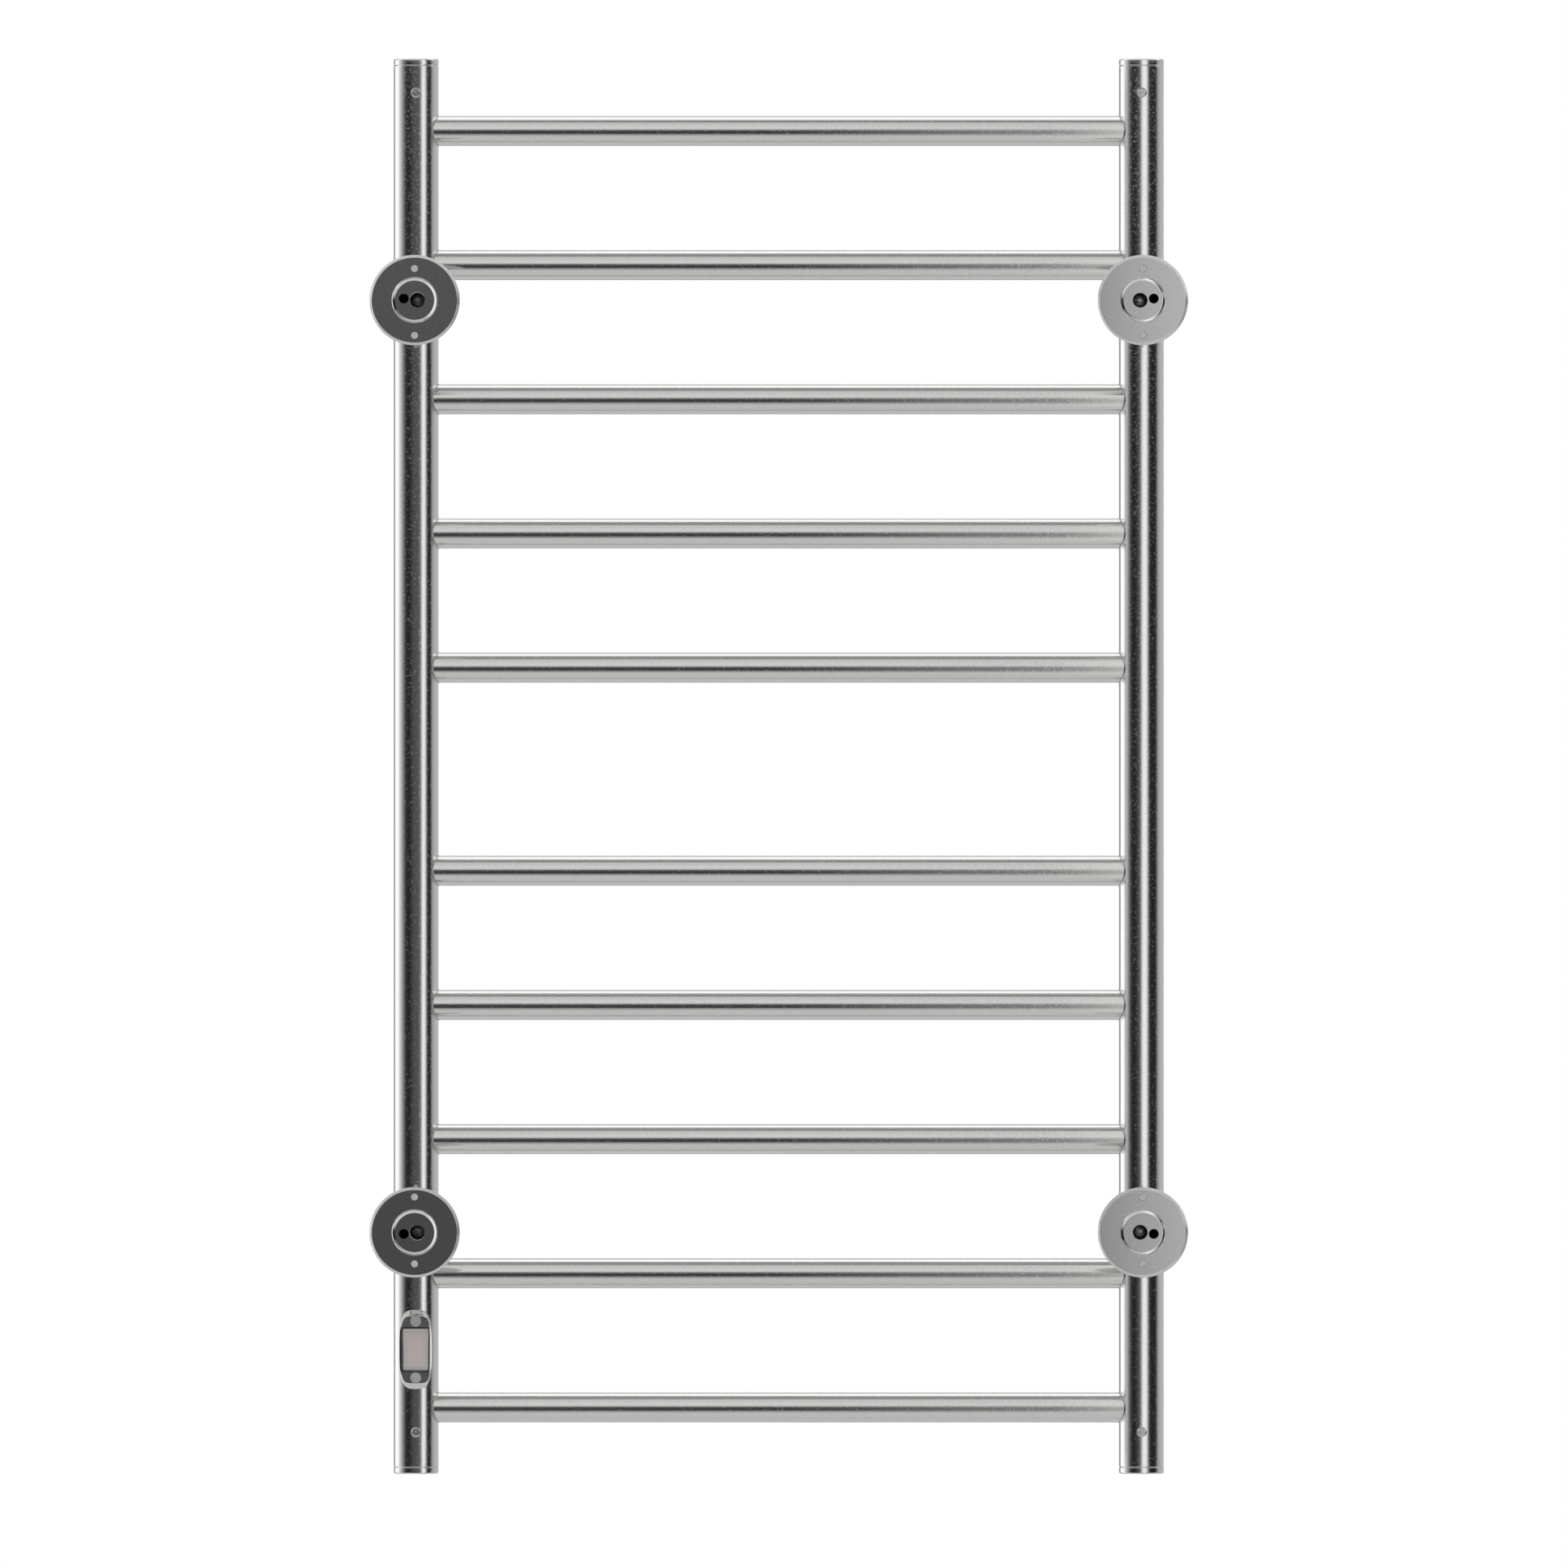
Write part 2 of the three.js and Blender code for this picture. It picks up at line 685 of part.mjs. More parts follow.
const rocking = new THREE.Group();
rocking.position.set(0, pivotY, 0);
rocking.rotation.x = THREE.MathUtils.degToRad(rockerTilt);
switchGroup.add(rocking);
add('rocker', rocker(), rockerPlastic, [0, 0, 0], rocking);
const plunger = disc(plungerDiameter / 2, 0, plungerLength, 16, 0, plungerTipBevel);
add('plunger', plunger, brass, [0, plungerTip - plungerLength, 0], rocking);
const spring = springPath();
add('plunger_spring', swept(spring, springWire / 2, 5, spring.stations.length - 1), zinc, [0, 0, 0], rocking);

// Switch body: an open box behind the bezel, with slots for its two blades.
const commonTop = armY + armThickness / 2 + gap + armRock;
const armReach = contactFromMiddle * Math.sin(THREE.MathUtils.degToRad(armTilt));
const contactTop = armY + armThickness / 2 + armReach + gap;
const bladeEnd = bodyBack + terminalTail;

function switchBody() {
  const deep = bodyDepth - bodyFloor;
  const blade = [terminalWidth + 2 * gap, bodyDepth, terminalThickness + 2 * gap];
  const holes = alongX(disc(trunnionDiameter / 2 + gap, -bodyWidth, bodyWidth, 16));
  return surface(cut(
    solid(box(bodyWidth, bodyDepth, bodyLength, 0, bodyFront + bodyDepth / 2, 0)),
    solid(box(cavityWidth, 2 * deep, cavityLength, 0, bodyFront, 0)),
    solid(holes.translate(0, pivotY, 0)),
    solid(box(...blade, 0, bodyBack, 0)),
    solid(box(...blade, 0, bodyBack, -contactFromMiddle)),
  ));
}
add('switch_body', switchBody(), blackPlastic, [0, 0, 0], switchGroup);

function blade(top) {
  return box(terminalWidth, bladeEnd - top, terminalThickness, 0, (top + bladeEnd) / 2, 0);
}
add('common_terminal', blade(commonTop), brass, [0, 0, 0], switchGroup);
add('contact_terminal', blade(contactTop), brass, [0, 0, -contactFromMiddle], switchGroup);

const arm = add('contact_arm', box(armWidth, armThickness, armLength), brass, [0, armY, 0], switchGroup);
arm.rotation.x = -THREE.MathUtils.degToRad(armTilt);

// ------------------------------------------------------------- heating cable

const inRungFromLeft = (distance) => -uprightSpacing / 2 + distance;
const cutoutStart = inRungFromLeft(cutoutFromUpright);
const cutoutEnd = cutoutStart + cutoutLength;
const spliceStart = inRungFromLeft(spliceFromUpright);
const spliceEnd = spliceStart + spliceLength;
const sealEnd = inRungFromLeft(sealFromUpright);
const sealStart = sealEnd + sealLength;

// Along each rung from the lowest up, and up an upright to the next one.
function cableRoute() {
  const stations = [];
  const station = (x, z, tx, tz) => stations.push({
    point: new THREE.Vector3(x, standoff, z),
    tangent: new THREE.Vector3(tx, 0, tz).normalize(),
  });
  const bendSteps = 3;
  const bend = (x, z, from, to) => {
    for (let i = 0; i <= bendSteps; i += 1) {
      const angle = from + ((to - from) * i) / bendSteps;
      const turn = Math.sign(to - from);
      const [c, s] = [Math.cos(angle), Math.sin(angle)];
      station(x + cableBend * c, z + cableBend * s, -turn * s, turn * c);
    }
  };
  const climbing = [...rungHeights].reverse();
  const quarter = Math.PI / 2;
  const turnX = uprightSpacing / 2 - cableBend;
  station(spliceEnd + gap, lowestRung, 1, 0);
  climbing.slice(0, -1).forEach((z, i) => {
    const next = climbing[i + 1];
    if (i % 2 === 0) {
      bend(turnX, z + cableBend, -quarter, 0);
      bend(turnX, next - cableBend, 0, quarter);
    } else {
      bend(-turnX, z + cableBend, 3 * quarter, 2 * quarter);
      bend(-turnX, next - cableBend, 2 * quarter, quarter);
    }
  });
  station(sealStart + gap, climbing[rungCount - 1], -1, 0);
  return new Route(stations);
}

const route = cableRoute();
add('heating_cable', swept(route, cableDiameter / 2, 8, route.stations.length - 1), cableSheath);

function sleeve(diameter, start, end, taper) {
  return alongX(disc(diameter / 2, start, end, 12, taper, taper));
}

const inTopRung = [0, standoff, rungHeights[0]];
const inLowestRung = [0, standoff, lowestRung];
add('cable_end_seal', sleeve(sealDiameter, sealEnd, sealStart, sealTaper), blackPlastic, inTopRung);
add('cable_splice', sleeve(spliceDiameter, spliceStart, spliceEnd, spliceTaper), blackPlastic, inLowestRung);
add('thermal_cutout', sleeve(cutoutDiameter, cutoutStart, cutoutEnd, cutoutTaper), zinc, inLowestRung);
const shortLead = sleeve(leadDiameter, cutoutEnd + gap, spliceStart - gap, 0);
add('cutout_lead', shortLead, blackPlastic, inLowestRung);

// From the switch's lower blade, down behind the body and into the lowest rung.
const leadTop = switchZ - contactFromMiddle - terminalThickness / 2 - gap;
const leadY = bladeEnd - leadFromBladeEnd;
const leadPoints = [
  [switchX, leadY, leadTop],
  [switchX, leadY, leadTop - leadDrop / 2],
  [switchX, leadY, leadTop - leadDrop],
  [switchX + 1, leadY - 1, (leadTop - leadDrop + lowestRung) / 2 + 3],
  [switchX + 5, standoff + 3, lowestRung + 4],
  [switchX + 12, standoff + 0.5, lowestRung + 0.5],
  [cutoutStart - 8, standoff, lowestRung],
  [cutoutStart - gap, standoff, lowestRung],
].map((corner) => new THREE.Vector3(...corner));
const leadPath = new THREE.CatmullRomCurve3(leadPoints, false, 'centripetal');
add('switch_lead', swept(leadPath, leadDiameter / 2, 8, 16), blackPlastic);

export default rail;
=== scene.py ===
"""Looks for a polished steel ladder towel warmer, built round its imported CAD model.

Metres, +X to the right, +Y from the wall into the room, +Z up. The camera looks
at the wall side. Sizes written in millimetres are multiplied by MM.
"""

import json
import math

import bmesh
import bpy
from mathutils import Matrix, Vector


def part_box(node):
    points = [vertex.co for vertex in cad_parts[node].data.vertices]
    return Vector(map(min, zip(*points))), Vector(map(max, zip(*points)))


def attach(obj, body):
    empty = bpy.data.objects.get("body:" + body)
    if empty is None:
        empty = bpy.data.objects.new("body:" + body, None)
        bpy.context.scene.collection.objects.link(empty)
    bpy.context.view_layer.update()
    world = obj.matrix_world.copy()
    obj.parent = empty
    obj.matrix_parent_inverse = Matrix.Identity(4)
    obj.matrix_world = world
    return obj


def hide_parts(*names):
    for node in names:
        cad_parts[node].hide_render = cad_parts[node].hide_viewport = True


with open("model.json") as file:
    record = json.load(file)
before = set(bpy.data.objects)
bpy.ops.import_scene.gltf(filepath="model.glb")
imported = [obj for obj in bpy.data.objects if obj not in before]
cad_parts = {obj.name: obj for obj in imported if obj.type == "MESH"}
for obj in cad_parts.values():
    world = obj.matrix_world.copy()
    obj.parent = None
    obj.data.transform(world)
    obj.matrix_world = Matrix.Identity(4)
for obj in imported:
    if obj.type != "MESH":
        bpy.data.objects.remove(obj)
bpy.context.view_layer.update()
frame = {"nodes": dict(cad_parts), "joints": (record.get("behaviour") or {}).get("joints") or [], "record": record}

MM = 0.001
TINY = 1e-7  # metres: corners nearer than this are one, and a narrower ring is a point
SIDES = ("left", "right")
ENDS = ("upper", "lower")
CORNERS = [(side, end) for side in SIDES for end in ENDS]
OUTBOARD = {"left": -1, "right": 1}
OUTWARD = {"upper": 1, "lower": -1}
RUNGS = sorted(name for name in frame["nodes"] if name.startswith("rung_"))
JOINTS = {joint["name"]: joint for joint in frame["joints"]}
BODY_OF = {
    node: body
    for body, nodes in frame["record"]["behaviour"]["bodies"].items()
    for node in nodes
}


def centre(node):
    low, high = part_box(node)
    return (low + high) / 2


def size(node):
    low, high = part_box(node)
    return high - low


def at_depth(point, y):
    """The point moved to a distance y from the wall."""
    return Vector((point.x, y, point.z))


UPRIGHT_RADIUS = size("left_upright").x / 2
UPRIGHT_WALL = 1.5 * MM
UPRIGHT_BORE = UPRIGHT_RADIUS - UPRIGHT_WALL
RUNG_RADIUS = size("rung_01").z / 2
RUNG_WALL = 1.2 * MM
RUNG_BORE = RUNG_RADIUS - RUNG_WALL
AXIS_Y = centre("left_upright").y
POST_RADIUS = size("left_upper_post").x / 2
ROSETTE_RADIUS = size("left_upper_rosette").x / 2
ROSETTE_THICKNESS = size("left_upper_rosette").y
BEZEL_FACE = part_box("switch_bezel")[0].y

# Radii of the drilled holes, where they lie from their post's axis, and their depths.
PIN_BORE = 5 * MM
PIN_BORE_INBOARD = 1.85 * MM
PIN_BORE_STRAIGHT = 37 * MM
PIN_BORE_TIP = 40 * MM
PIN_BORE_CHAMFER = 0.5 * MM
GRUB_HOLE = 2.8 * MM
GRUB_HOLE_Y = 14 * MM
CABLE_HOLE = 3.4 * MM
CABLE_HOLE_OUTBOARD = 7.4 * MM
CABLE_HOLE_OUTWARD = 1 * MM
CAP_SCREW_HOLE = 2.3 * MM
OVERSHOOT = 1 * MM  # how far a cutter stands out of the piece it cuts


# ------------------------------------------------------------------ materials


def grey(level):
    return (level, level, level)


def maths(tree, operation, *values):
    node = tree.nodes.new("ShaderNodeMath")
    node.operation = operation
    for socket, value in zip(node.inputs, values):
        if isinstance(value, (int, float)):
            socket.default_value = value
        else:
            tree.links.new(value, socket)
    return node.outputs[0]


def colour_ramp(tree, value, stops):
    """A ramp through (position, colour) stops."""
    node = tree.nodes.new("ShaderNodeValToRGB")
    elements = node.color_ramp.elements
    while len(elements) < len(stops):
        elements.new(0.5)
    for element, (position, colour) in zip(elements, stops):
        element.position = position
        element.color = (*colour, 1)
    tree.links.new(value, node.inputs["Fac"])
    return node.outputs["Color"]


class Nodes:
    """A new material's node tree, with short calls for the nodes used here."""

    def __init__(self, name):
        self.material = bpy.data.materials.new(name)
        self.material.use_nodes = True
        self.tree = self.material.node_tree
        self.shader = self.tree.nodes["Principled BSDF"]
        self.place = self.tree.nodes.new("ShaderNodeTexCoord").outputs["Object"]

    def link(self, start, end):
        self.tree.links.new(start, end)

    def set(self, **values):
        for name, value in values.items():
            self.shader.inputs[name.replace("_", " ")].default_value = value

    def stretched(self, scale):
        """Object coordinates scaled by three numbers, so noise can run along an axis."""
        mapping = self.tree.nodes.new("ShaderNodeMapping")
        mapping.inputs["Scale"].default_value = scale
        self.link(self.place, mapping.inputs["Vector"])
        return mapping.outputs["Vector"]

    def noise(self, scale, detail=2.0, place=None):
        texture = self.tree.nodes.new("ShaderNodeTexNoise")
        texture.inputs["Scale"].default_value = scale
        texture.inputs["Detail"].default_value = detail
        self.link(place or self.place, texture.inputs["Vector"])
        return texture.outputs["Fac"]

    def spread(self, value, low, high, start=0.3, end=0.7):
        node = self.tree.nodes.new("ShaderNodeMapRange")
        node.inputs["From Min"].default_value = start
        node.inputs["From Max"].default_value = end
        node.inputs["To Min"].default_value = low
        node.inputs["To Max"].default_value = high
        self.link(value, node.inputs["Value"])
        return node.outputs["Result"]

    def colour(self, value, dark, light, start=0.3, end=0.7):
        mixed = colour_ramp(self.tree, value, [(start, dark), (end, light)])
        self.link(mixed, self.shader.inputs["Base Color"])

    def roughness(self, value, low, high, start=0.3, end=0.7):
        self.link(self.spread(value, low, high, start, end), self.shader.inputs["Roughness"])

    def bump(self, *heights):
        """Bumps from (height, strength, depth in metres) triples, laid over each other."""
        normal = None
        for height, strength, depth in heights:
            node = self.tree.nodes.new("ShaderNodeBump")
            node.inputs["Strength"].default_value = strength
            node.inputs["Distance"].default_value = depth
            self.link(height, node.inputs["Height"])
            if normal:
                self.link(normal, node.inputs["Normal"])
            normal = node.outputs["Normal"]
        self.link(normal, self.shader.inputs["Normal"])


def polished(name, grain_scale):
    """Polished stainless steel, with faint polishing lines and a slight waviness."""
    nodes = Nodes(name)
    nodes.set(Metallic=1.0)
    lines = nodes.noise(1.0, 3, nodes.stretched(grain_scale))
    mottle = nodes.noise(620, 3)
    nodes.colour(mottle, (0.75, 0.745, 0.735), (0.80, 0.79, 0.78), start=0.36, end=0.6)
    nodes.roughness(mottle, 0.05, 0.24, start=0.5, end=0.68)
    nodes.bump((mottle, 0.02, 0.12 * MM), (lines, 0.03, 0.02 * MM))
    return nodes.material


def machined_steel():
    """Turned and ground end faces: the same steel with a duller, finely scratched skin."""
    nodes = Nodes("machined_steel")
    nodes.set(Metallic=1.0)
    scratches = nodes.noise(1.0, 4, nodes.stretched((900, 900, 2600)))
    dark, light = (0.525, 0.525, 0.52), (0.605, 0.605, 0.60)
    nodes.colour(nodes.noise(900, 4), dark, light, start=0.36, end=0.64)
    nodes.roughness(scratches, 0.12, 0.2)
    nodes.bump((scratches, 0.12, 0.03 * MM), (nodes.noise(420, 3), 0.08, 0.1 * MM))
    return nodes.material


def weld_steel():
    nodes = Nodes("weld_steel")
    nodes.set(Metallic=1.0)
    nodes.colour(nodes.noise(700, 3), (0.42, 0.415, 0.41), (0.58, 0.57, 0.56))
    nodes.roughness(nodes.noise(900, 2), 0.22, 0.36)
    nodes.bump((nodes.noise(1100, 2), 0.15, 0.08 * MM))
    return nodes.material


def bore_steel():
    """Inside of the drilled holes: cutting marks, and a colour darker than the outer steel in cloudy patches."""
    nodes = Nodes("bore_steel")
    nodes.set(Metallic=1.0)
    rings = nodes.noise(1.0, 2, nodes.stretched((120, 4200, 120)))
    nodes.colour(nodes.noise(700, 3), (0.20, 0.20, 0.195), (0.62, 0.615, 0.61), start=0.4, end=0.6)
    nodes.roughness(rings, 0.12, 0.3)
    nodes.bump((rings, 0.3, 0.05 * MM), (nodes.noise(420, 2), 0.5, 0.25 * MM))
    return nodes.material


def screw_steel():
    nodes = Nodes("screw_steel")
    nodes.set(Metallic=1.0)
    nodes.colour(nodes.noise(900, 3), (0.55, 0.55, 0.54), (0.72, 0.715, 0.70))
    nodes.roughness(nodes.noise(1400, 2), 0.16, 0.28)
    nodes.bump((nodes.noise(2400, 2), 0.1, 0.04 * MM))
    return nodes.material


def moulded(name, dark, light, roughness, texture_scale, depth, clouds):
    """Moulded plastic or rubber: cloudy colour, a fine eroded texture in its skin."""
    nodes = Nodes(name)
    nodes.colour(nodes.noise(clouds, 3), dark, light)
    skin = nodes.noise(texture_scale, 3)
    nodes.roughness(skin, *roughness)
    nodes.bump((skin, 0.35, depth))
    return nodes.material


def rocker_plastic(middle, half):
    """Satin plastic, warm in the middle and greyer at the rim, with a painted line of shade and a painted
    highlight strip near each end.
    """
    nodes = Nodes("rocker_plastic")
    away = nodes.tree.nodes.new("ShaderNodeVectorMath")
    away.operation = "SUBTRACT"
    away.inputs[1].default_value = middle
    nodes.link(nodes.place, away.inputs[0])
    split = nodes.tree.nodes.new("ShaderNodeSeparateXYZ")
    nodes.link(away.outputs["Vector"], split.inputs["Vector"])
    x, _, z = split.outputs
    across = maths(nodes.tree, "DIVIDE", maths(nodes.tree, "ABSOLUTE", x), half.x)
    along = maths(nodes.tree, "DIVIDE", maths(nodes.tree, "ABSOLUTE", z), half.z)
    uneven = 0.3
    wobble = maths(nodes.tree, "MULTIPLY_ADD", nodes.noise(160, 3), uneven, -uneven / 2)
    rim = maths(nodes.tree, "ADD", maths(nodes.tree, "MAXIMUM", across, along), wobble)
    warm, cool = (0.435, 0.355, 0.35), (0.345, 0.34, 0.335)
    face = colour_ramp(nodes.tree, rim, [(0.35, warm), (0.8, cool)])
    # Painted shade and highlight near each end: a painted dark line of shade where the raised end strip meets the
    # face, then a painted highlight that lightens the strip.
    plain, painted_shade_line, painted_highlight_strip = grey(1), grey(0.45), grey(1.3)
    stops = [(0.80, plain), (0.818, painted_shade_line), (0.84, painted_highlight_strip)]
    shade = colour_ramp(nodes.tree, along, stops)
    both = nodes.tree.nodes.new("ShaderNodeMix")
    both.data_type = "RGBA"
    both.blend_type = "MULTIPLY"
    both.inputs["Factor"].default_value = 1
    nodes.link(face, both.inputs["A"])
    nodes.link(shade, both.inputs["B"])
    nodes.link(both.outputs["Result"], nodes.shader.inputs["Base Color"])
    skin = nodes.noise(3600, 3)
    nodes.roughness(skin, 0.28, 0.4)
    nodes.bump((skin, 0.3, 0.02 * MM))
    return nodes.material


def brass():
    nodes = Nodes("contact_brass")
    nodes.set(Metallic=1.0)
    nodes.colour(nodes.noise(300, 3), (0.50, 0.34, 0.13), (0.68, 0.50, 0.24))
    nodes.roughness(nodes.noise(900, 2), 0.2, 0.4)
    nodes.bump((nodes.noise(1800, 2), 0.1, 0.03 * MM))
    return nodes.material


TUBE_Z = polished("upright_steel", (900, 900, 25))
TUBE_X = polished("rung_steel", (25, 900, 900))
TURNED = polished("turned_steel", (500, 2200, 500))
MACHINED = machined_steel()
WELD = weld_steel()
BORE = bore_steel()
SCREW = screw_steel()
ROCKER = rocker_plastic(centre("rocker"), size("rocker") / 2)
PAD = moulded(
    "pad_rubber", grey(0.30), grey(0.42),
    roughness=(0.75, 0.95), texture_scale=2600, depth=0.08 * MM, clouds=700,
)
GREY = moulded(
    "grey_plastic", (0.235, 0.235, 0.235), (0.30, 0.295, 0.295),
    roughness=(0.38, 0.5), texture_scale=3200, depth=0.03 * MM, clouds=400,
)
BLACK = moulded(
    "black_plastic", (0.014, 0.014, 0.015), (0.03, 0.03, 0.031),
    roughness=(0.4, 0.6), texture_scale=2400, depth=0.04 * MM, clouds=200,
)
SHEATH = moulded(
    "cable_sheath", (0.30, 0.05, 0.03), (0.42, 0.09, 0.06),
    roughness=(0.55, 0.75), texture_scale=1800, depth=0.05 * MM, clouds=60,
)
BRASS = brass()


# --------------------------------------------------------------- mesh builders


def recalculated(mesh):
    """Shared corners, no stray edges, every face pointing out."""
    work = bmesh.new()
    work.from_mesh(mesh)
    bmesh.ops.remove_doubles(work, verts=work.verts, dist=TINY)
    bmesh.ops.recalc_face_normals(work, faces=work.faces)
    work.to_mesh(mesh)
    work.free()
    mesh.update()


def new_object(name, vertices, faces, *materials):
    mesh = bpy.data.meshes.new(name)
    mesh.from_pydata(vertices, [], faces)
    recalculated(mesh)
    for material in materials:
        mesh.materials.append(material)
    obj = bpy.data.objects.new(name, mesh)
    bpy.context.scene.collection.objects.link(obj)
    return obj


def shaded(obj, sharp=32):
    """Smooth shading that breaks at edges sharper than the angle and favours large faces."""
    obj.data.shade_smooth()
    obj.data.set_sharp_from_angle(angle=math.radians(sharp))
    weighted = obj.modifiers.new("weighted", "WEIGHTED_NORMAL")
    weighted.keep_sharp = True
    return obj


def placed(obj, node):
    """Rides on its CAD node's body and stands for that node."""
    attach(obj, BODY_OF[node])
    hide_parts(node)
    return obj


def rounded(points, radii, steps=4):
    """A closed outline with each corner turned into an arc of its radius."""
    outline = []
    for i, (point, radius) in enumerate(zip(points, radii)):
        corner = Vector(point)
        if not radius:
            outline.append(corner)
            continue
        before = (Vector(points[i - 1]) - corner).normalized()
        after = (Vector(points[(i + 1) % len(points)]) - corner).normalized()
        half = before.angle(after) / 2
        middle = corner + (before + after).normalized() * (radius / math.sin(half))
        reach = radius / math.tan(half)
        first = corner + before * reach - middle
        last = corner + after * reach - middle
        start = math.atan2(first.y, first.x)
        turn = (math.atan2(last.y, last.x) - start + math.pi) % (2 * math.pi) - math.pi
        for step in range(steps + 1):
            angle = start + turn * step / steps
            outline.append(middle + radius * Vector((math.cos(angle), math.sin(angle))))
    return outline


def turned(profile, sides, axis, origin):
    """Vertices and faces of a (radius, height) outline turned about an axis through origin."""
    along = Vector({"X": (1, 0, 0), "Y": (0, 1, 0), "Z": (0, 0, 1)}[axis])
    across = Vector((0, 0, 1)) if axis != "Z" else Vector((1, 0, 0))
    third = along.cross(across)
    vertices, rings = [], []
    for radius, height in profile:
        ring = []
        for i in range(sides if radius > TINY else 1):
            angle = 2 * math.pi * i / sides
            spoke = across * math.cos(angle) + third * math.sin(angle)
            ring.append(len(vertices))
            vertices.append(origin + along * height + spoke * radius)
        rings.append(ring)
    faces = []
    closed = min(radius for radius, _ in profile) > TINY
    pairs = list(zip(rings, rings[1:])) + ([(rings[-1], rings[0])] if closed else [])
    for low, high in pairs:
        for i in range(sides):
            a, b = low[i % len(low)], low[(i + 1) % sides % len(low)]
            c, d = high[(i + 1) % sides % len(high)], high[i % len(high)]
            face = list(dict.fromkeys((a, b, c, d)))
            if len(face) > 2:
                faces.append(face)
    return vertices, faces


def lathe(name, profile, sides, axis, origin, *materials):
    return new_object(name, *turned(profile, sides, axis, origin), *materials)


def rod(name, radius, low, high, sides, axis, origin):
    """A plain round bar, used to cut holes."""
    profile = [(0, low), (radius, low), (radius, high), (0, high)]
    return lathe(name, profile, sides, axis, origin)


def bridged(name, vertices, *materials):
    """A solid from two outlines of as many corners, one after the other, both closed flat."""
    count = len(vertices) // 2
    faces = [list(range(count)), list(range(2 * count - 1, count - 1, -1))]
    for i in range(count):
        j = (i + 1) % count
        faces.append([i, j, count + j, count + i])
    return new_object(name, vertices, faces, *materials)


def prism(name, outline, low, high, origin):
    """An outline in X and Z given depth from y = low to y = high, used to cut holes."""
    return bridged(name, [origin + Vector((x, y, z)) for y in (low, high) for x, z in outline])


def rectangle(half_width, half_length):
    """Four corners about the origin."""
    return [
        (-half_width, -half_length), (half_width, -half_length),
        (half_width, half_length), (-half_width, half_length),
    ]


def carved(obj, *cutters, material_index=0):
    """Cuts the cutters out of the object and removes them. Their walls can take a material."""
    joined = bpy.data.meshes.new("cutters")
    work = bmesh.new()
    for cutter in cutters:
        work.from_mesh(cutter.data)
        bpy.data.objects.remove(cutter)
    for face in work.faces:
        face.material_index = material_index
    work.to_mesh(joined)
    work.free()
    for material in obj.data.materials:
        joined.materials.append(material)
    tool = bpy.data.objects.new("cutters", joined)
    bpy.context.scene.collection.objects.link(tool)
    cut = obj.modifiers.new("cut", "BOOLEAN")
    cut.operation = "DIFFERENCE"
    cut.solver = "EXACT"
    cut.use_self = True
    cut.object = tool
    bpy.context.view_layer.update()
    result = bpy.data.meshes.new_from_object(obj.evaluated_get(bpy.context.evaluated_depsgraph_get()))
    obj.modifiers.remove(cut)
    obj.data = result
    bpy.data.objects.remove(tool)
    return obj


def round_tube_normals(obj, origin, radius, bore):
    """Exact normals on a Z tube's two round walls, whatever holes are cut through them."""
    near, level = 0.1 * MM, 0.02
    mesh = obj.data
    mesh.shade_smooth()
    normals = [None] * len(mesh.loops)
    for polygon in mesh.polygons:
        spokes = []
        for index in polygon.loop_indices:
            spoke = mesh.vertices[mesh.loops[index].vertex_index].co - origin
            spokes.append(Vector((spoke.x, spoke.y, 0)))
        lengths = [spoke.length for spoke in spokes]
        outer = all(abs(length - radius) < near for length in lengths)
        inner = all(abs(length - bore) < near for length in lengths)
        round_wall = abs(polygon.normal.z) < level and (outer or inner)
        for index, spoke in zip(polygon.loop_indices, spokes):
            wall = spoke.normalized() * (1 if outer else -1)
            normals[index] = wall if round_wall else polygon.normal.copy()
    mesh.normals_split_custom_set(normals)
    return obj


# ---------------------------------------------------------------- the ladder


def weld(name, middle, out, up, radius, branch, seam, node):
    """A small fillet where a branch tube, running out from the axis, leaves a larger one."""
    side = up.cross(out)
    around, section = 96, 7
    ripples, ripple_height, belly, root = 23, 0.04, 0.06, 0.3
    vertices, faces = [], []
    for i in range(around):
        angle = 2 * math.pi * i / around
        reach = math.sqrt(radius**2 - (branch * math.cos(angle)) ** 2)
        flank = side * math.cos(angle)
        base = middle + out * reach + (flank + up * math.sin(angle)) * branch
        branch_normal = flank + up * math.sin(angle)
        main_normal = (out * reach + flank * branch) / radius
        slope = (branch_normal - main_normal * branch_normal.dot(main_normal)).normalized()
        bead = seam * (1 + ripple_height * math.sin(ripples * angle))
        foot, head = base + slope * bead, base + out * bead
        knee = base + (main_normal + branch_normal) * belly * bead
        for step in range(section):
            t = step / (section - 1)
            vertices.append(foot * (1 - t) ** 2 + knee * 2 * t * (1 - t) + head * t**2)
        vertices.append(base - (main_normal + branch_normal) * root * bead)
    ring = section + 1
    for i in range(around):
        j = (i + 1) % around
        for k in range(ring):
            m = (k + 1) % ring
            faces.append([i * ring + k, i * ring + m, j * ring + m, j * ring + k])
    obj = shaded(new_object(name, vertices, faces, WELD), sharp=60)
    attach(obj, BODY_OF[node])
    return obj


def end_edge(radius, bore, low, high, edge):
    """Outline of a tube's wall with both ends' outer edges broken."""
    return rounded(
        [(bore, low), (radius, low), (radius, high), (bore, high)],
        (0, edge, edge, 0),
        2,
    )


def cable_hole_place(side, end, y):
    """Where the mains cable's hole through a post and its upright has its axis."""
    post = centre(f"{side}_{end}_post")
    x = post.x + OUTBOARD[side] * CABLE_HOLE_OUTBOARD
    return Vector((x, y, post.z + OUTWARD[end] * CABLE_HOLE_OUTWARD))


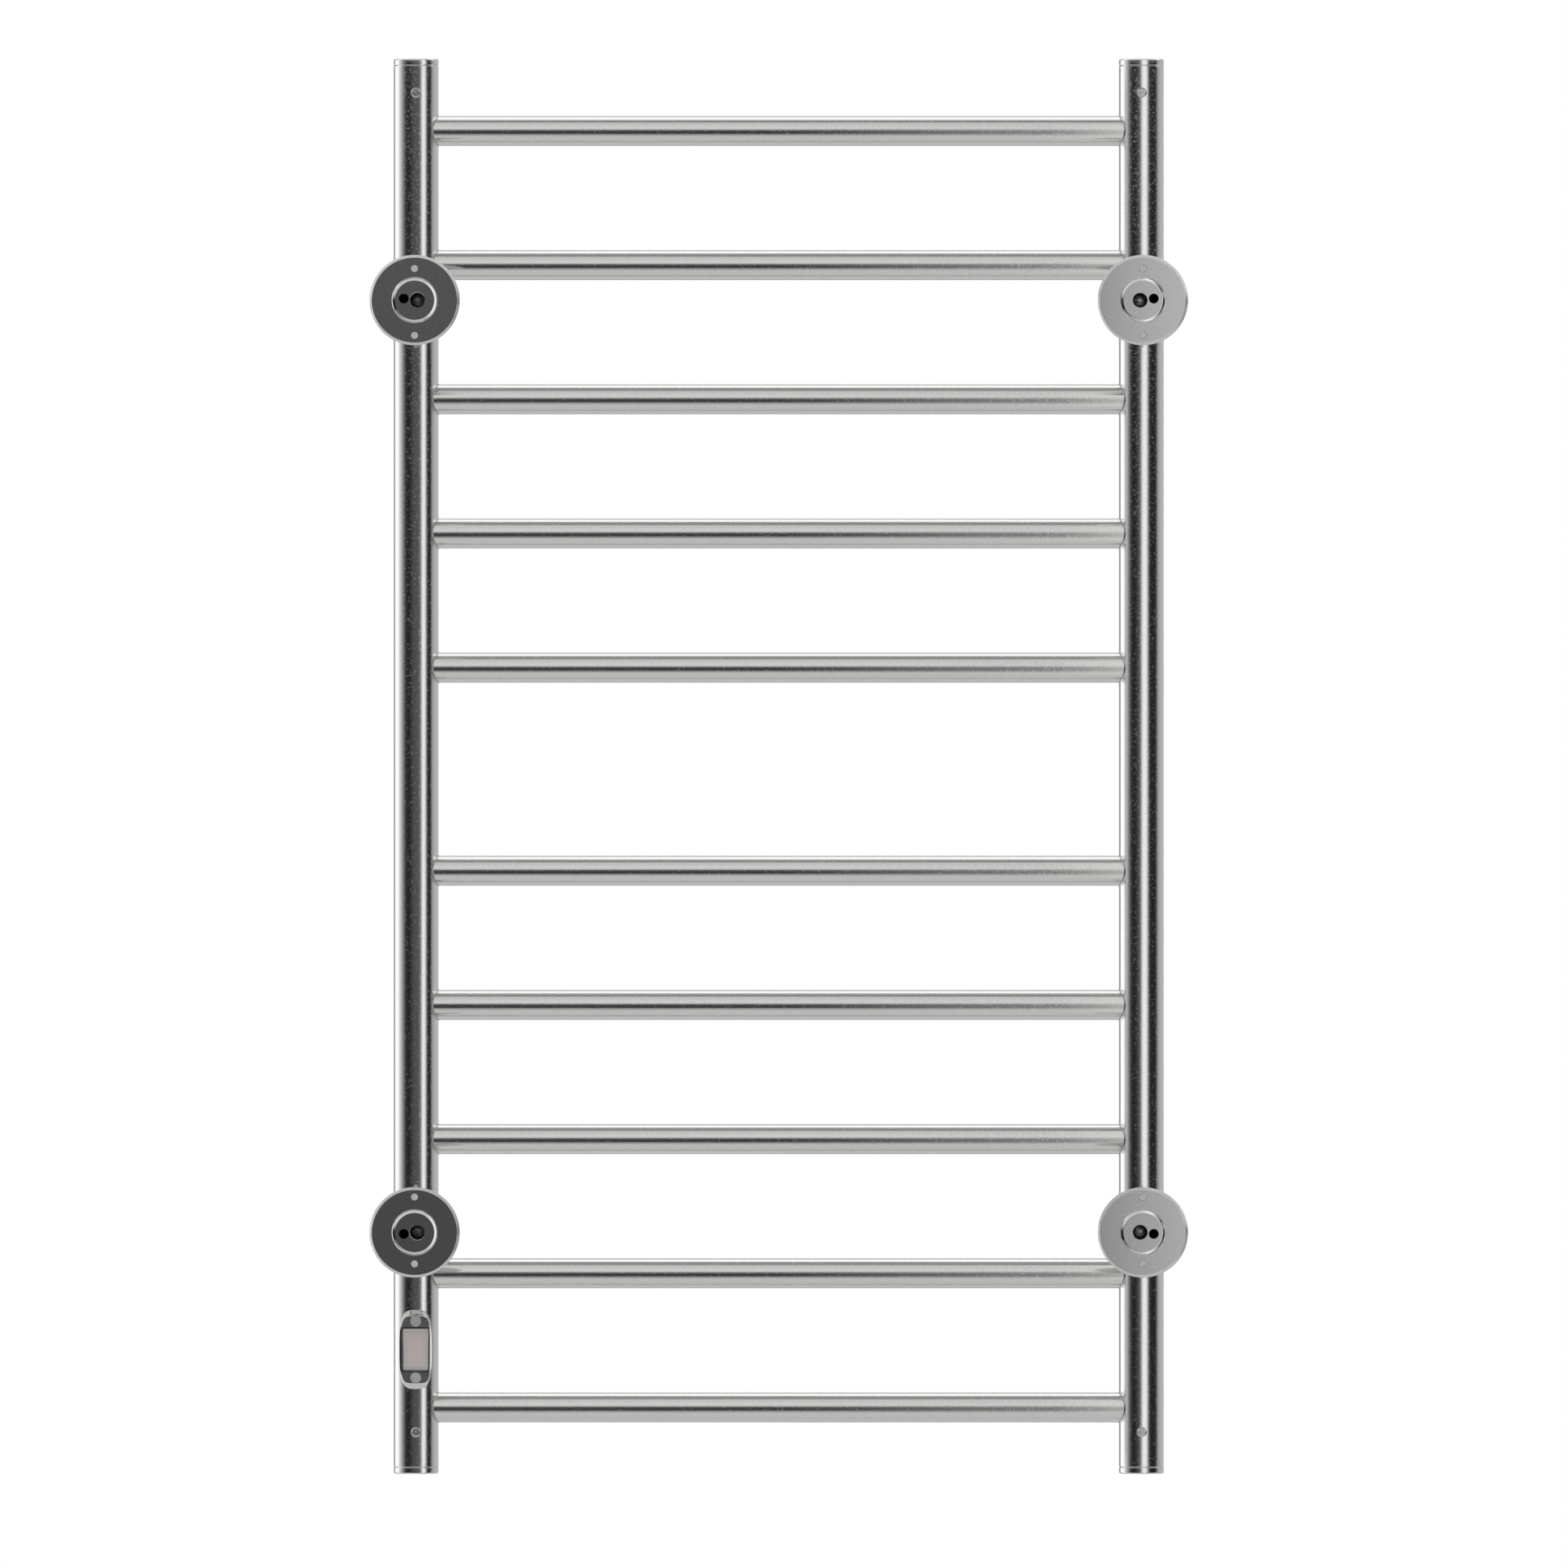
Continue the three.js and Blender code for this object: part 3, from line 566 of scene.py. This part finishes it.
def make_upright(side):
    """Tube drilled for its rungs, cap screws and cable; the left one also for the switch."""
    node = f"{side}_upright"
    low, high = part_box(node)
    middle = Vector((centre(node).x, AXIS_Y, 0))
    edge, rung_gap, body_gap = 0.45 * MM, 0.15 * MM, 0.3 * MM
    tube = lathe(
        f"{side}_upright_tube",
        end_edge(UPRIGHT_RADIUS, UPRIGHT_BORE, low.z, high.z, edge),
        128, "Z", middle, TUBE_Z, BORE,
    )
    beyond = 2 * UPRIGHT_RADIUS
    reach = sorted((0, -OUTBOARD[side] * beyond))
    cutters = []
    for rung in RUNGS:
        spot = Vector((middle.x, AXIS_Y, centre(rung).z))
        cutters.append(rod("hole", RUNG_RADIUS + rung_gap, *reach, 64, "X", spot))
    for end in ENDS:
        screw = at_depth(centre(f"{side}_{end}_cap_screw"), AXIS_Y)
        cutters.append(rod("hole", CAP_SCREW_HOLE, -beyond, 0, 24, "Y", screw))
        cable = cable_hole_place(side, end, AXIS_Y)
        cutters.append(rod("hole", CABLE_HOLE, -beyond, 0, 32, "Y", cable))
    if side == "left":
        body = size("switch_body") / 2
        corners = rectangle(body.x + body_gap, body.z + body_gap)
        spot = Vector((middle.x, AXIS_Y, centre("switch_body").z))
        cutters.append(prism("hole", corners, -beyond, -UPRIGHT_RADIUS / 2, spot))
    carved(tube, *cutters)
    round_tube_normals(tube, middle, UPRIGHT_RADIUS, UPRIGHT_BORE)
    return placed(tube, node)


def make_rung(node):
    """Tube with a weld seam at each upright."""
    low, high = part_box(node)
    spot = Vector((0, AXIS_Y, centre(node).z))
    edge, seam, up = 0.2 * MM, 0.75 * MM, Vector((0, 0, 1))
    outline = end_edge(RUNG_RADIUS, RUNG_BORE, low.x, high.x, edge)
    tube = lathe(f"{node}_tube", outline, 96, "X", spot, TUBE_X)
    placed(shaded(tube), node)
    for side in SIDES:
        middle = Vector((centre(f"{side}_upright").x, AXIS_Y, spot.z))
        inboard = Vector((-OUTBOARD[side], 0, 0))
        name = f"{node}_{side}_weld"
        weld(name, middle, inboard, up, UPRIGHT_RADIUS, RUNG_RADIUS, seam, node)


def make_end_cap(side, end):
    """Lid with a rounded edge on a hollow spigot; the seam below it is a small groove."""
    node = f"{side}_{end}_end_cap"
    low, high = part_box(node)
    way = OUTWARD[end]
    tip = high.z if way > 0 else low.z
    spigot = UPRIGHT_BORE - 0.3 * MM
    lid, wall, length = 4.3 * MM, 3 * MM, high.z - low.z
    outline = rounded(
        [
            (0, 0), (UPRIGHT_RADIUS, 0), (UPRIGHT_RADIUS, -lid), (spigot, -lid),
            (spigot, -length), (spigot - wall, -length), (spigot - wall, -wall), (0, -wall),
        ],
        (0, 1.1 * MM, 0.3 * MM, 0, 0.3 * MM, 0, 0.5 * MM, 0),
        5,
    )
    profile = [(radius, tip + way * height) for radius, height in outline]
    axis = Vector((centre(node).x, AXIS_Y, 0))
    cap = lathe(f"{side}_{end}_cap_lid", profile, 96, "Z", axis, TURNED)
    screw = at_depth(centre(f"{side}_{end}_cap_screw"), AXIS_Y)
    carved(cap, rod("hole", CAP_SCREW_HOLE, -UPRIGHT_RADIUS, 0, 24, "Y", screw))
    return placed(shaded(cap), node)


def hex_bar(across_flats, low, high, origin):
    """A six-sided bar along Y, used to cut a socket."""
    corner = across_flats / math.sqrt(3)
    angles = [math.pi * i / 3 for i in range(6)]
    outline = [(corner * math.cos(angle), corner * math.sin(angle)) for angle in angles]
    return prism("hole", outline, low, high, origin)


def make_cap_screw(side, end):
    """Screw with a conical head, its six-sided socket open to the wall."""
    node = f"{side}_{end}_cap_screw"
    low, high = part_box(node)
    head, shank, length = size(node).x / 2, 2 * MM, high.y - low.y
    crown, cone, head_end = head - 1.15 * MM, 0.85 * MM, 1.3 * MM
    outline = rounded(
        [
            (0, 0), (crown, 0), (head, cone), (head, head_end),
            (shank, head_end), (shank, length), (0, length),
        ],
        (0, 0.15 * MM, 0.1 * MM, 0, 0, 0.3 * MM, 0),
        3,
    )
    spot = at_depth(centre(node), low.y)
    screw = lathe(f"{side}_{end}_cap_screw_head", outline, 48, "Y", spot, SCREW)
    carved(screw, hex_bar(3 * MM, -OVERSHOOT, 1.4 * MM, spot))
    cone_tip, cone_base, cone_radius = 0.9 * MM, 1.5 * MM, 1.4 * MM
    cone_outline = [(0, cone_tip), (cone_radius, cone_base), (0, cone_base)]
    tip = lathe(f"{side}_{end}_cap_screw_tip", cone_outline, 24, "Y", spot, SCREW)
    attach(shaded(tip), BODY_OF[node])
    return placed(shaded(screw), node)


for side_name in SIDES:
    make_upright(side_name)
for rung_name in RUNGS:
    make_rung(rung_name)
for corner in CORNERS:
    make_end_cap(*corner)
    make_cap_screw(*corner)


# ------------------------------------------------------------------ wall posts


def make_post(side, end):
    """Post bored for the wall pin and the cable, saddled to the upright and welded."""
    node = f"{side}_{end}_post"
    spot = at_depth(centre(node), 0)
    on_axis = at_depth(centre(node), AXIS_Y)
    across = 2 * POST_RADIUS
    bevel_width, bevel_depth = 1.65 * MM, 0.69 * MM
    outline = rounded(
        [
            (0, 0), (POST_RADIUS - bevel_width, 0), (POST_RADIUS, bevel_depth),
            (POST_RADIUS, AXIS_Y), (0, AXIS_Y),
        ],
        (0, 1.2 * MM, 0.2 * MM, 0, 0),
        5,
    )
    post = lathe(f"{side}_{end}_post_bar", outline, 96, "Y", spot, MACHINED, BORE)
    saddle_radius = UPRIGHT_RADIUS + 0.05 * MM
    carved(post, rod("hole", saddle_radius, -across, across, 128, "Z", on_axis))
    bore_at = spot + Vector((-OUTBOARD[side] * PIN_BORE_INBOARD, 0, 0))
    mouth = [
        (0, -OVERSHOOT), (PIN_BORE + PIN_BORE_CHAMFER + OVERSHOOT, -OVERSHOOT),
        (PIN_BORE, PIN_BORE_CHAMFER), (PIN_BORE, PIN_BORE_STRAIGHT), (0, PIN_BORE_TIP),
    ]
    bore = lathe("hole", mouth, 48, "Y", bore_at)
    cable = rod("hole", CABLE_HOLE, -OVERSHOOT, AXIS_Y, 40, "Y", cable_hole_place(side, end, 0))
    reach = (-across, 0) if end == "upper" else (0, across)
    grub = rod("hole", GRUB_HOLE, *reach, 32, "Z", bore_at + Vector((0, GRUB_HOLE_Y, 0)))
    face, drilled, polished_skin, flat = 0, 1, 2, 0.995
    carved(post, bore, cable, grub, material_index=drilled)
    post.data.materials.append(TURNED)
    for polygon in post.data.polygons:
        skin = polygon.material_index == face and abs(polygon.normal.y) < flat
        chamfer = polygon.material_index == drilled and polygon.center.y < PIN_BORE_CHAMFER + 0.1 * MM
        if skin or chamfer:
            polygon.material_index = polished_skin
    placed(shaded(post), node)
    seam, toward_wall, up = 1 * MM, Vector((0, -1, 0)), Vector((0, 0, 1))
    name = f"{side}_{end}_post_weld"
    weld(name, on_axis, toward_wall, up, UPRIGHT_RADIUS, POST_RADIUS, seam, node)


def make_rosette(side, end):
    """Turned disc, its wall face machined, with two pads let into it."""
    node = f"{side}_{end}_rosette"
    spot = at_depth(centre(node), 0)
    hole = POST_RADIUS + 0.3 * MM
    lead_in, bevel = 0.3 * MM, 1.7 * MM
    outline = rounded(
        [
            (hole + lead_in, 0), (ROSETTE_RADIUS - bevel, 0), (ROSETTE_RADIUS, bevel),
            (ROSETTE_RADIUS, ROSETTE_THICKNESS), (hole, ROSETTE_THICKNESS), (hole, lead_in),
        ],
        (0.1 * MM, 0.5 * MM, 0.5 * MM, 1.2 * MM, 0.5 * MM, 0.1 * MM),
        6,
    )
    disc = lathe(f"{side}_{end}_rosette_disc", outline, 128, "Y", spot, TURNED, MACHINED)
    seat_radius, seat_depth, machined = 2.65 * MM, 1.7 * MM, 1
    seats = []
    for which in ("outer", "inner"):
        at = at_depth(centre(f"{side}_{end}_{which}_pad"), 0)
        seats.append(rod("hole", seat_radius, -OVERSHOOT, seat_depth, 40, "Y", at))
    carved(disc, *seats, material_index=machined)
    at_wall, flat = 0.02 * MM, 0.99
    for polygon in disc.data.polygons:
        if polygon.center.y < at_wall and polygon.normal.y < -flat:
            polygon.material_index = machined
    placed(shaded(disc), node)


def make_pad(node):
    """Rubber pad in its seat, a little domed, with a soft rim."""
    low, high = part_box(node)
    radius, depth, dome = size(node).x / 2, high.y - low.y, 0.05 * MM
    outline = rounded(
        [(0, 0), (radius, dome), (radius, depth), (0, depth)],
        (0, 0.4 * MM, 0.2 * MM, 0),
        4,
    )
    pad = lathe(f"{node}_disc", outline, 40, "Y", at_depth(centre(node), low.y), PAD)
    placed(shaded(pad), node)


for side_name, end_name in CORNERS:
    make_post(side_name, end_name)
    make_rosette(side_name, end_name)
    make_pad(f"{side_name}_{end_name}_outer_pad")
    make_pad(f"{side_name}_{end_name}_inner_pad")


# ------------------------------------------------------------------ the switch

BEZEL_HALF = size("switch_bezel") / 2
RIM_FULLNESS, FACE_FULLNESS = 3.4, 5.5
OVAL_POINTS = 96
WINDOW = (9 * MM, 15.4 * MM)
CAP_RADIUS = size("switch_screw_cap_upper").x / 2


def oval(half_width, half_length, fullness):
    """An outline between an ellipse (fullness 2) and a rectangle, as (x, z) pairs."""
    points = []
    for i in range(OVAL_POINTS):
        angle = 2 * math.pi * i / OVAL_POINTS
        pair = []
        for half, wave in ((half_width, math.cos(angle)), (half_length, math.sin(angle))):
            pair.append(half * math.copysign(abs(wave) ** (2 / fullness), wave))
        points.append(pair)
    return points


def edge_drop(z):
    """How far the bezel's rim lies below its face: more at the two ends than at the sides."""
    side_drop, end_drop = 0.55 * MM, 2.1 * MM
    start, reach = 0.5, 0.35
    toward_end = min(1, max(0, (abs(z) / BEZEL_HALF.z - start) / reach))
    share = toward_end * toward_end * (3 - 2 * toward_end)
    return side_drop + (end_drop - side_drop) * share


def bezel_blank():
    """Oval plate with a rounded edge that falls away to the tube."""
    spot = at_depth(centre("switch_bezel"), 0)
    side_edge, end_edge_width, steps = 1.6 * MM, 4.5 * MM, 10
    # Each level's inset, from the face (1) to the rim (0), its share of the edge's
    # drop, and the least depth below the face that it may have.
    levels = [(1 - step / steps, (step / steps) ** 1.25, 0) for step in range(steps)]
    levels += [(0.04, 1, 0), (0, 1.15, 0), (0, 1, AXIS_Y - BEZEL_FACE)]
    vertices, faces = [], []
    for inset, fall, depth in levels:
        fullness = RIM_FULLNESS + (FACE_FULLNESS - RIM_FULLNESS) * inset
        half_width = BEZEL_HALF.x - side_edge * inset
        half_length = BEZEL_HALF.z - end_edge_width * inset
        for x, z in oval(half_width, half_length, fullness):
            y = BEZEL_FACE + max(fall * edge_drop(z), depth)
            vertices.append(spot + Vector((x, y, z)))
    for level in range(len(levels) - 1):
        for i in range(OVAL_POINTS):
            j = (i + 1) % OVAL_POINTS
            base, above = level * OVAL_POINTS, (level + 1) * OVAL_POINTS
            faces.append([base + i, base + j, above + j, above + i])
    faces.append(list(range(OVAL_POINTS)))
    faces.append(list(range(len(vertices) - 1, len(vertices) - OVAL_POINTS - 1, -1)))
    return new_object("switch_bezel_plate", vertices, faces, TURNED)


def make_bezel():
    """Bezel saddled to the tube, with a window, a pocket for the switch and two screw wells."""
    bezel = bezel_blank()
    middle = centre("switch_bezel")
    spot = at_depth(middle, 0)
    saddle_radius, saddle_reach = UPRIGHT_RADIUS + 1.15 * MM, 60 * MM
    on_axis = at_depth(middle, AXIS_Y)
    carved(bezel, rod("hole", saddle_radius, -saddle_reach, saddle_reach, 160, "Z", on_axis))
    window = prism(
        "hole",
        rounded(rectangle(*WINDOW), [0.8 * MM] * 4, 6),
        BEZEL_FACE - OVERSHOOT, AXIS_Y, spot,
    )
    carved(bezel, window)
    body, gap, skin = size("switch_body") / 2, 0.25 * MM, 4.2 * MM
    corners = rectangle(body.x + gap, body.z + gap)
    carved(bezel, prism("hole", corners, BEZEL_FACE + skin, AXIS_Y, spot))
    # Radius, start, end and number of sides: the screw cap's seat, the hole for the
    # screw's head and the hole for its shank.
    steps = [
        (CAP_RADIUS + 0.12 * MM, -OVERSHOOT, 1.4 * MM, 48),
        (3.1 * MM, 0, 2.9 * MM, 32),
        (1.8 * MM, 0, 10 * MM, 24),
    ]
    for which in ("upper", "lower"):
        at = Vector((spot.x, BEZEL_FACE, centre(f"switch_screw_cap_{which}").z))
        for radius, low, high, sides in steps:
            carved(bezel, rod("hole", radius, low, high, sides, "Y", at))
    return placed(shaded(bezel, sharp=28), "switch_bezel")


def make_screw_cap(which):
    """Round plastic disc with a soft rim, pressed in over one of the bezel's screws."""
    node = f"switch_screw_cap_{which}"
    low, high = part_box(node)
    face, depth = 0.1 * MM, high.y - low.y
    outline = rounded(
        [(0, face), (CAP_RADIUS, face), (CAP_RADIUS, depth), (0, depth)],
        (0, 0.35 * MM, 0, 0),
        4,
    )
    cap = lathe(f"{node}_disc", outline, 64, "Y", at_depth(centre(node), low.y), GREY)
    placed(shaded(cap), node)


def rocker_profile():
    """The rocker from the side, as (along, up) pairs about its pivot."""
    radius, crown, dip, skirt = 15.45 * MM, 7.9 * MM, 6.9 * MM, 2 * MM
    face_end, strip_end = 12.6 * MM, 14.25 * MM
    face_steps, arc_steps = 14, 8
    profile = []
    for i in range(face_steps + 1):
        along = -1 + 2 * i / face_steps
        profile.append((face_end * along, dip + (crown - dip) * abs(along) ** 1.6))
    start, end = math.acos(strip_end / radius), math.asin(skirt / radius)
    arc = [start + (end - start) * i / arc_steps for i in range(arc_steps + 1)]
    profile += [(radius * math.cos(angle), radius * math.sin(angle)) for angle in arc]
    boss, boss_top = 3 * MM, skirt - 1 * MM
    profile += [(boss, boss_top), (boss, -boss), (-boss, -boss), (-boss, boss_top)]
    profile += [(-radius * math.cos(angle), radius * math.sin(angle)) for angle in reversed(arc)]
    return profile


def make_rocker():
    """Rocker with a shallow dip between its raised ends and arcs for its end faces."""
    joint = JOINTS["rocker_tilt"]
    pivot = Vector(joint["pos_m"])
    tilt = math.radians(abs(joint["range_deg"][0]) / 2)
    half_width = WINDOW[0] - 0.25 * MM
    vertices = []
    for x in (-half_width, half_width):
        for along, up in rocker_profile():
            vertices.append(Vector((x, -up, along)))
    rocker = bridged("rocker_paddle", vertices, ROCKER)
    soft = rocker.modifiers.new("soft_edges", "BEVEL")
    soft.width = 0.9 * MM
    soft.segments = 4
    soft.limit_method = "ANGLE"
    soft.angle_limit = math.radians(50)
    soft.use_clamp_overlap = True
    rocker.data.transform(Matrix.Translation(pivot) @ Matrix.Rotation(tilt, 4, "X"))
    return placed(shaded(rocker, sharp=40), "rocker")


make_bezel()
make_screw_cap("upper")
make_screw_cap("lower")
make_rocker()


# ------------------------------------------------- pieces kept from the model

KEPT = {
    "switch_gasket": PAD,
    "switch_screw_upper": SCREW,
    "switch_screw_lower": SCREW,
    "switch_body": BLACK,
    "plunger": BRASS,
    "plunger_spring": SCREW,
    "contact_arm": BRASS,
    "common_terminal": BRASS,
    "contact_terminal": BRASS,
    "heating_cable": SHEATH,
    "cable_end_seal": BLACK,
    "cable_splice": BLACK,
    "thermal_cutout": SCREW,
    "cutout_lead": BLACK,
    "switch_lead": BLACK,
}
KEPT.update({f"{side}_{end}_grub_screw": SCREW for side, end in CORNERS})
for kept_name, kept_material in KEPT.items():
    for material_slot in frame["nodes"][kept_name].material_slots:
        material_slot.material = kept_material


# ------------------------------------------------------- studio and the camera


def bare_material(name):
    """A material whose node tree holds only its output, with that tree and output."""
    material = bpy.data.materials.new(name)
    material.use_nodes = True
    tree = material.node_tree
    tree.nodes.clear()
    return material, tree, tree.nodes.new("ShaderNodeOutputMaterial")


TENT_RADIUS = 40.0
TENT_STRENGTH = 2.0

# Brightness that the steel sees level with itself, as (degrees, brightness). The
# compass angle is 0 on the camera's side and grows towards +X.
COMPASS = [
    (-180, 0.34), (-158, 0.31), (-147, 0.31), (-139, 0.64), (-131, 1.30), (-116, 1.40),
    (-101, 1.05), (-95, 0.86), (-86, 0.63), (-75, 0.37), (-65, 0.17), (-57, 0.06),
    (-49, 0.03), (-40, 0.02), (-30, 0.03), (-22, 0.055), (-13, 0.08), (0, 0.095),
    (14, 0.105), (28, 0.11), (40, 0.075), (49, 0.025), (60, 0.02), (74, 0.025),
    (81, 0.055), (88, 0.20), (95, 0.38), (104, 0.48), (125, 0.56), (150, 0.60),
    (165, 0.48), (180, 0.30),
]

# Brightness above and below that level. The height angle runs from behind (-180)
# by straight down (-90), the camera's side (0) and straight up (90) to behind again.
HEIGHT = [
    (-180, 0.60), (-150, 0.62), (-112, 0.62), (-100, 0.58), (-92, 0.58), (-78, 0.61),
    (-50, 0.62), (-26, 0.60), (-20, 0.00), (-5, 0.00), (2, 0.65), (12, 0.74),
    (30, 0.78), (37, 0.73), (46, 0.68), (60, 0.68), (67, 0.50), (73, 0.30),
    (78, 0.22), (83, 0.33), (90, 0.60), (98, 1.00), (106, 1.25), (118, 1.30),
    (128, 1.05), (138, 0.72), (155, 0.60), (165, 0.50), (180, 0.45),
]

# How much of the horizon's own brightness shows at each height angle.
HORIZON = [
    (-42, 0), (-36, 0.24), (-30, 0.50), (-24, 0.68), (-18, 0.55), (-6, 0.6),
    (-2.5, 1), (2.5, 1), (6, 0.68), (12, 0.2), (18, 0),
]


def grey_ramp(tree, value, table, lowest, highest, strength=1.0):
    """A ramp of greys from a table over angles, its value running 0 to 1 between two angles."""
    span = highest - lowest
    stops = [((angle - lowest) / span, grey(bright / strength)) for angle, bright in table]
    return colour_ramp(tree, value, stops)


def turns(tree, angle):
    """An angle between -pi and pi, as a value from 0 to 1."""
    return maths(tree, "MULTIPLY_ADD", angle, 0.5 / math.pi, 0.5)


def tent_glow():
    """A horizon band that changes with the compass angle, laid over the height's brightness."""
    material, tree, output = bare_material("tent_glow")
    place = tree.nodes.new("ShaderNodeTexCoord").outputs["Object"]
    split = tree.nodes.new("ShaderNodeSeparateXYZ")
    tree.links.new(place, split.inputs["Vector"])
    x, y, z = split.outputs
    front = maths(tree, "MULTIPLY", y, -1.0)
    compass = turns(tree, maths(tree, "ARCTAN2", x, front))
    level = grey_ramp(tree, compass, COMPASS, -180, 180, TENT_STRENGTH)
    height = turns(tree, maths(tree, "ARCTAN2", z, front))
    over = grey_ramp(tree, height, HEIGHT, -180, 180, TENT_STRENGTH)
    rise = maths(tree, "ARCSINE", maths(tree, "DIVIDE", z, TENT_RADIUS))
    rise = maths(tree, "MULTIPLY_ADD", rise, 1 / math.pi, 0.5)
    band = grey_ramp(tree, rise, HORIZON, -90, 90)
    mix = tree.nodes.new("ShaderNodeMix")
    mix.data_type = "RGBA"
    tree.links.new(band, mix.inputs["Factor"])
    tree.links.new(over, mix.inputs["A"])
    tree.links.new(level, mix.inputs["B"])
    emission = tree.nodes.new("ShaderNodeEmission")
    emission.inputs["Strength"].default_value = TENT_STRENGTH
    tree.links.new(mix.outputs["Result"], emission.inputs["Color"])
    tree.links.new(emission.outputs["Emission"], output.inputs["Surface"])
    return material


def only_reflected(obj):
    """Seen in the steel, but not by the camera, and it neither lights nor shades."""
    obj.visible_camera = False
    obj.visible_diffuse = False
    obj.visible_shadow = False
    obj.visible_transmission = False
    obj.visible_volume_scatter = False
    return obj


def make_tent():
    """A great ball round the whole scene."""
    steps = 48
    arc = [math.pi * i / steps - math.pi / 2 for i in range(1, steps)]
    profile = [(TENT_RADIUS * math.cos(angle), TENT_RADIUS * math.sin(angle)) for angle in arc]
    profile = [(0, -TENT_RADIUS), *profile, (0, TENT_RADIUS)]
    tent = lathe("tent", profile, 96, "Z", Vector((0, 0, 0)), tent_glow())
    tent.data.shade_smooth()
    return only_reflected(tent)


# The card's plan, from the middle of the ladder outwards and round its right edge:
# x, distance in front of the tubes, how opaque it is there and how bright.
CARD = [
    (0.00, 0.98, 0.00, 0.66),
    (0.06, 0.97, 0.10, 0.66),
    (0.13, 0.96, 0.27, 0.66),
    (0.20, 0.95, 0.42, 0.66),
    (0.235, 0.94, 0.64, 0.78),
    (0.27, 0.94, 0.97, 0.80),
    (0.305, 0.93, 1.15, 0.80),
    (0.34, 0.93, 1.30, 0.87),
    (0.42, 0.92, 1.30, 1.02),
    (0.54, 0.90, 1.30, 1.06),
    (0.65, 0.85, 1.30, 0.90),
    (0.71, 0.78, 1.30, 0.60),
    (0.72, 0.70, 1.20, 0.35),
    (0.69, 0.58, 1.20, 0.16),
    (0.63, 0.45, 1.20, 0.10),
    (0.60, 0.40, 0.00, 0.05),
]
CARD_HALF_HEIGHT = 1.3
CARD_OPACITY_RISE, CARD_OPACITY_MIDDLE = 0.25, 0.89


def card_glow():
    """Partly clear glow; opacity, brightness and height come from the mesh's own data."""
    material, tree, output = bare_material("card_glow")
    stored = tree.nodes.new("ShaderNodeAttribute")
    stored.attribute_name = "card"
    split = tree.nodes.new("ShaderNodeSeparateXYZ")
    tree.links.new(stored.outputs["Vector"], split.inputs["Vector"])
    opacity, brightness, height = split.outputs
    share = maths(tree, "MULTIPLY_ADD", height, CARD_OPACITY_RISE, CARD_OPACITY_MIDDLE)
    opacity = maths(tree, "MINIMUM", maths(tree, "MULTIPLY", opacity, share), 1.0)
    emission = tree.nodes.new("ShaderNodeEmission")
    tree.links.new(brightness, emission.inputs["Strength"])
    clear = tree.nodes.new("ShaderNodeBsdfTransparent")
    blend = tree.nodes.new("ShaderNodeMixShader")
    tree.links.new(opacity, blend.inputs["Fac"])
    tree.links.new(clear.outputs["BSDF"], blend.inputs[1])
    tree.links.new(emission.outputs["Emission"], blend.inputs[2])
    tree.links.new(blend.outputs["Shader"], output.inputs["Surface"])
    return material


def make_card():
    """A curved card whose opacity and brightness are stored along its plan."""
    vertices, faces = [], []
    for x, distance, _, _ in CARD:
        for height in (-CARD_HALF_HEIGHT, CARD_HALF_HEIGHT):
            vertices.append(Vector((x, AXIS_Y - distance, height)))
    for i in range(len(CARD) - 1):
        faces.append([2 * i, 2 * i + 2, 2 * i + 3, 2 * i + 1])
    card = new_object("card", vertices, faces, card_glow())
    layer = card.data.attributes.new("card", "FLOAT_VECTOR", "POINT")
    for i, vertex in enumerate(card.data.vertices):
        _, _, opaque, bright = CARD[i // 2]
        layer.data[i].vector = (opaque, bright, vertex.co.z)
    return only_reflected(card)


def make_floor():
    """A wide pale slab below the ladder, which the steel doesn't reflect."""
    half, thickness, top = 14.0, 0.02, -1.25
    vertices = [
        Vector((x, y, z))
        for z in (top - thickness, top)
        for x, y in rectangle(half, half)
    ]
    nodes = Nodes("pale_floor")
    nodes.colour(nodes.noise(3, 3), (0.80, 0.80, 0.79), (0.84, 0.84, 0.83))
    nodes.roughness(nodes.noise(40, 2), 0.7, 0.85)
    floor = bridged("floor", vertices, nodes.material)
    floor.visible_glossy = False


def make_world():
    world = bpy.data.worlds.new("white_room")
    world.use_nodes = True
    background = world.node_tree.nodes["Background"]
    background.inputs["Color"].default_value = (1, 1, 1, 1)
    background.inputs["Strength"].default_value = 1.0
    bpy.context.scene.world = world


def make_key_light():
    """A soft square lamp, high on the left of the camera's side, aimed at the ladder's middle."""
    spot = Vector((-1.2, -2.4, 1.8))
    light = bpy.data.lights.new("soft_key", "AREA")
    light.shape = "SQUARE"
    light.size = 1.8
    light.energy = 18
    lamp = bpy.data.objects.new("soft_key", light)
    lamp.location = spot
    lamp.rotation_euler = (-spot).to_track_quat("-Z", "Y").to_euler()
    lamp.visible_glossy = False
    bpy.context.scene.collection.objects.link(lamp)


def make_camera():
    """A long lens from far off, level with the middle of the ladder."""
    distance, view_width = 16.4, 1.081
    aim_x, aim_z = 0.0036, -0.0122
    lens_data = bpy.data.cameras.new("camera")
    lens_data.sensor_width = 36
    lens_data.lens = lens_data.sensor_width * distance / view_width
    lens_data.clip_end = 200
    camera = bpy.data.objects.new("camera", lens_data)
    camera.location = (aim_x, AXIS_Y - distance, aim_z)
    camera.rotation_euler = (math.pi / 2, 0, 0)
    bpy.context.scene.collection.objects.link(camera)
    bpy.context.scene.camera = camera


make_tent()
make_card()
make_floor()
make_world()
make_key_light()
make_camera()
bpy.context.scene.view_settings.view_transform = "Standard"
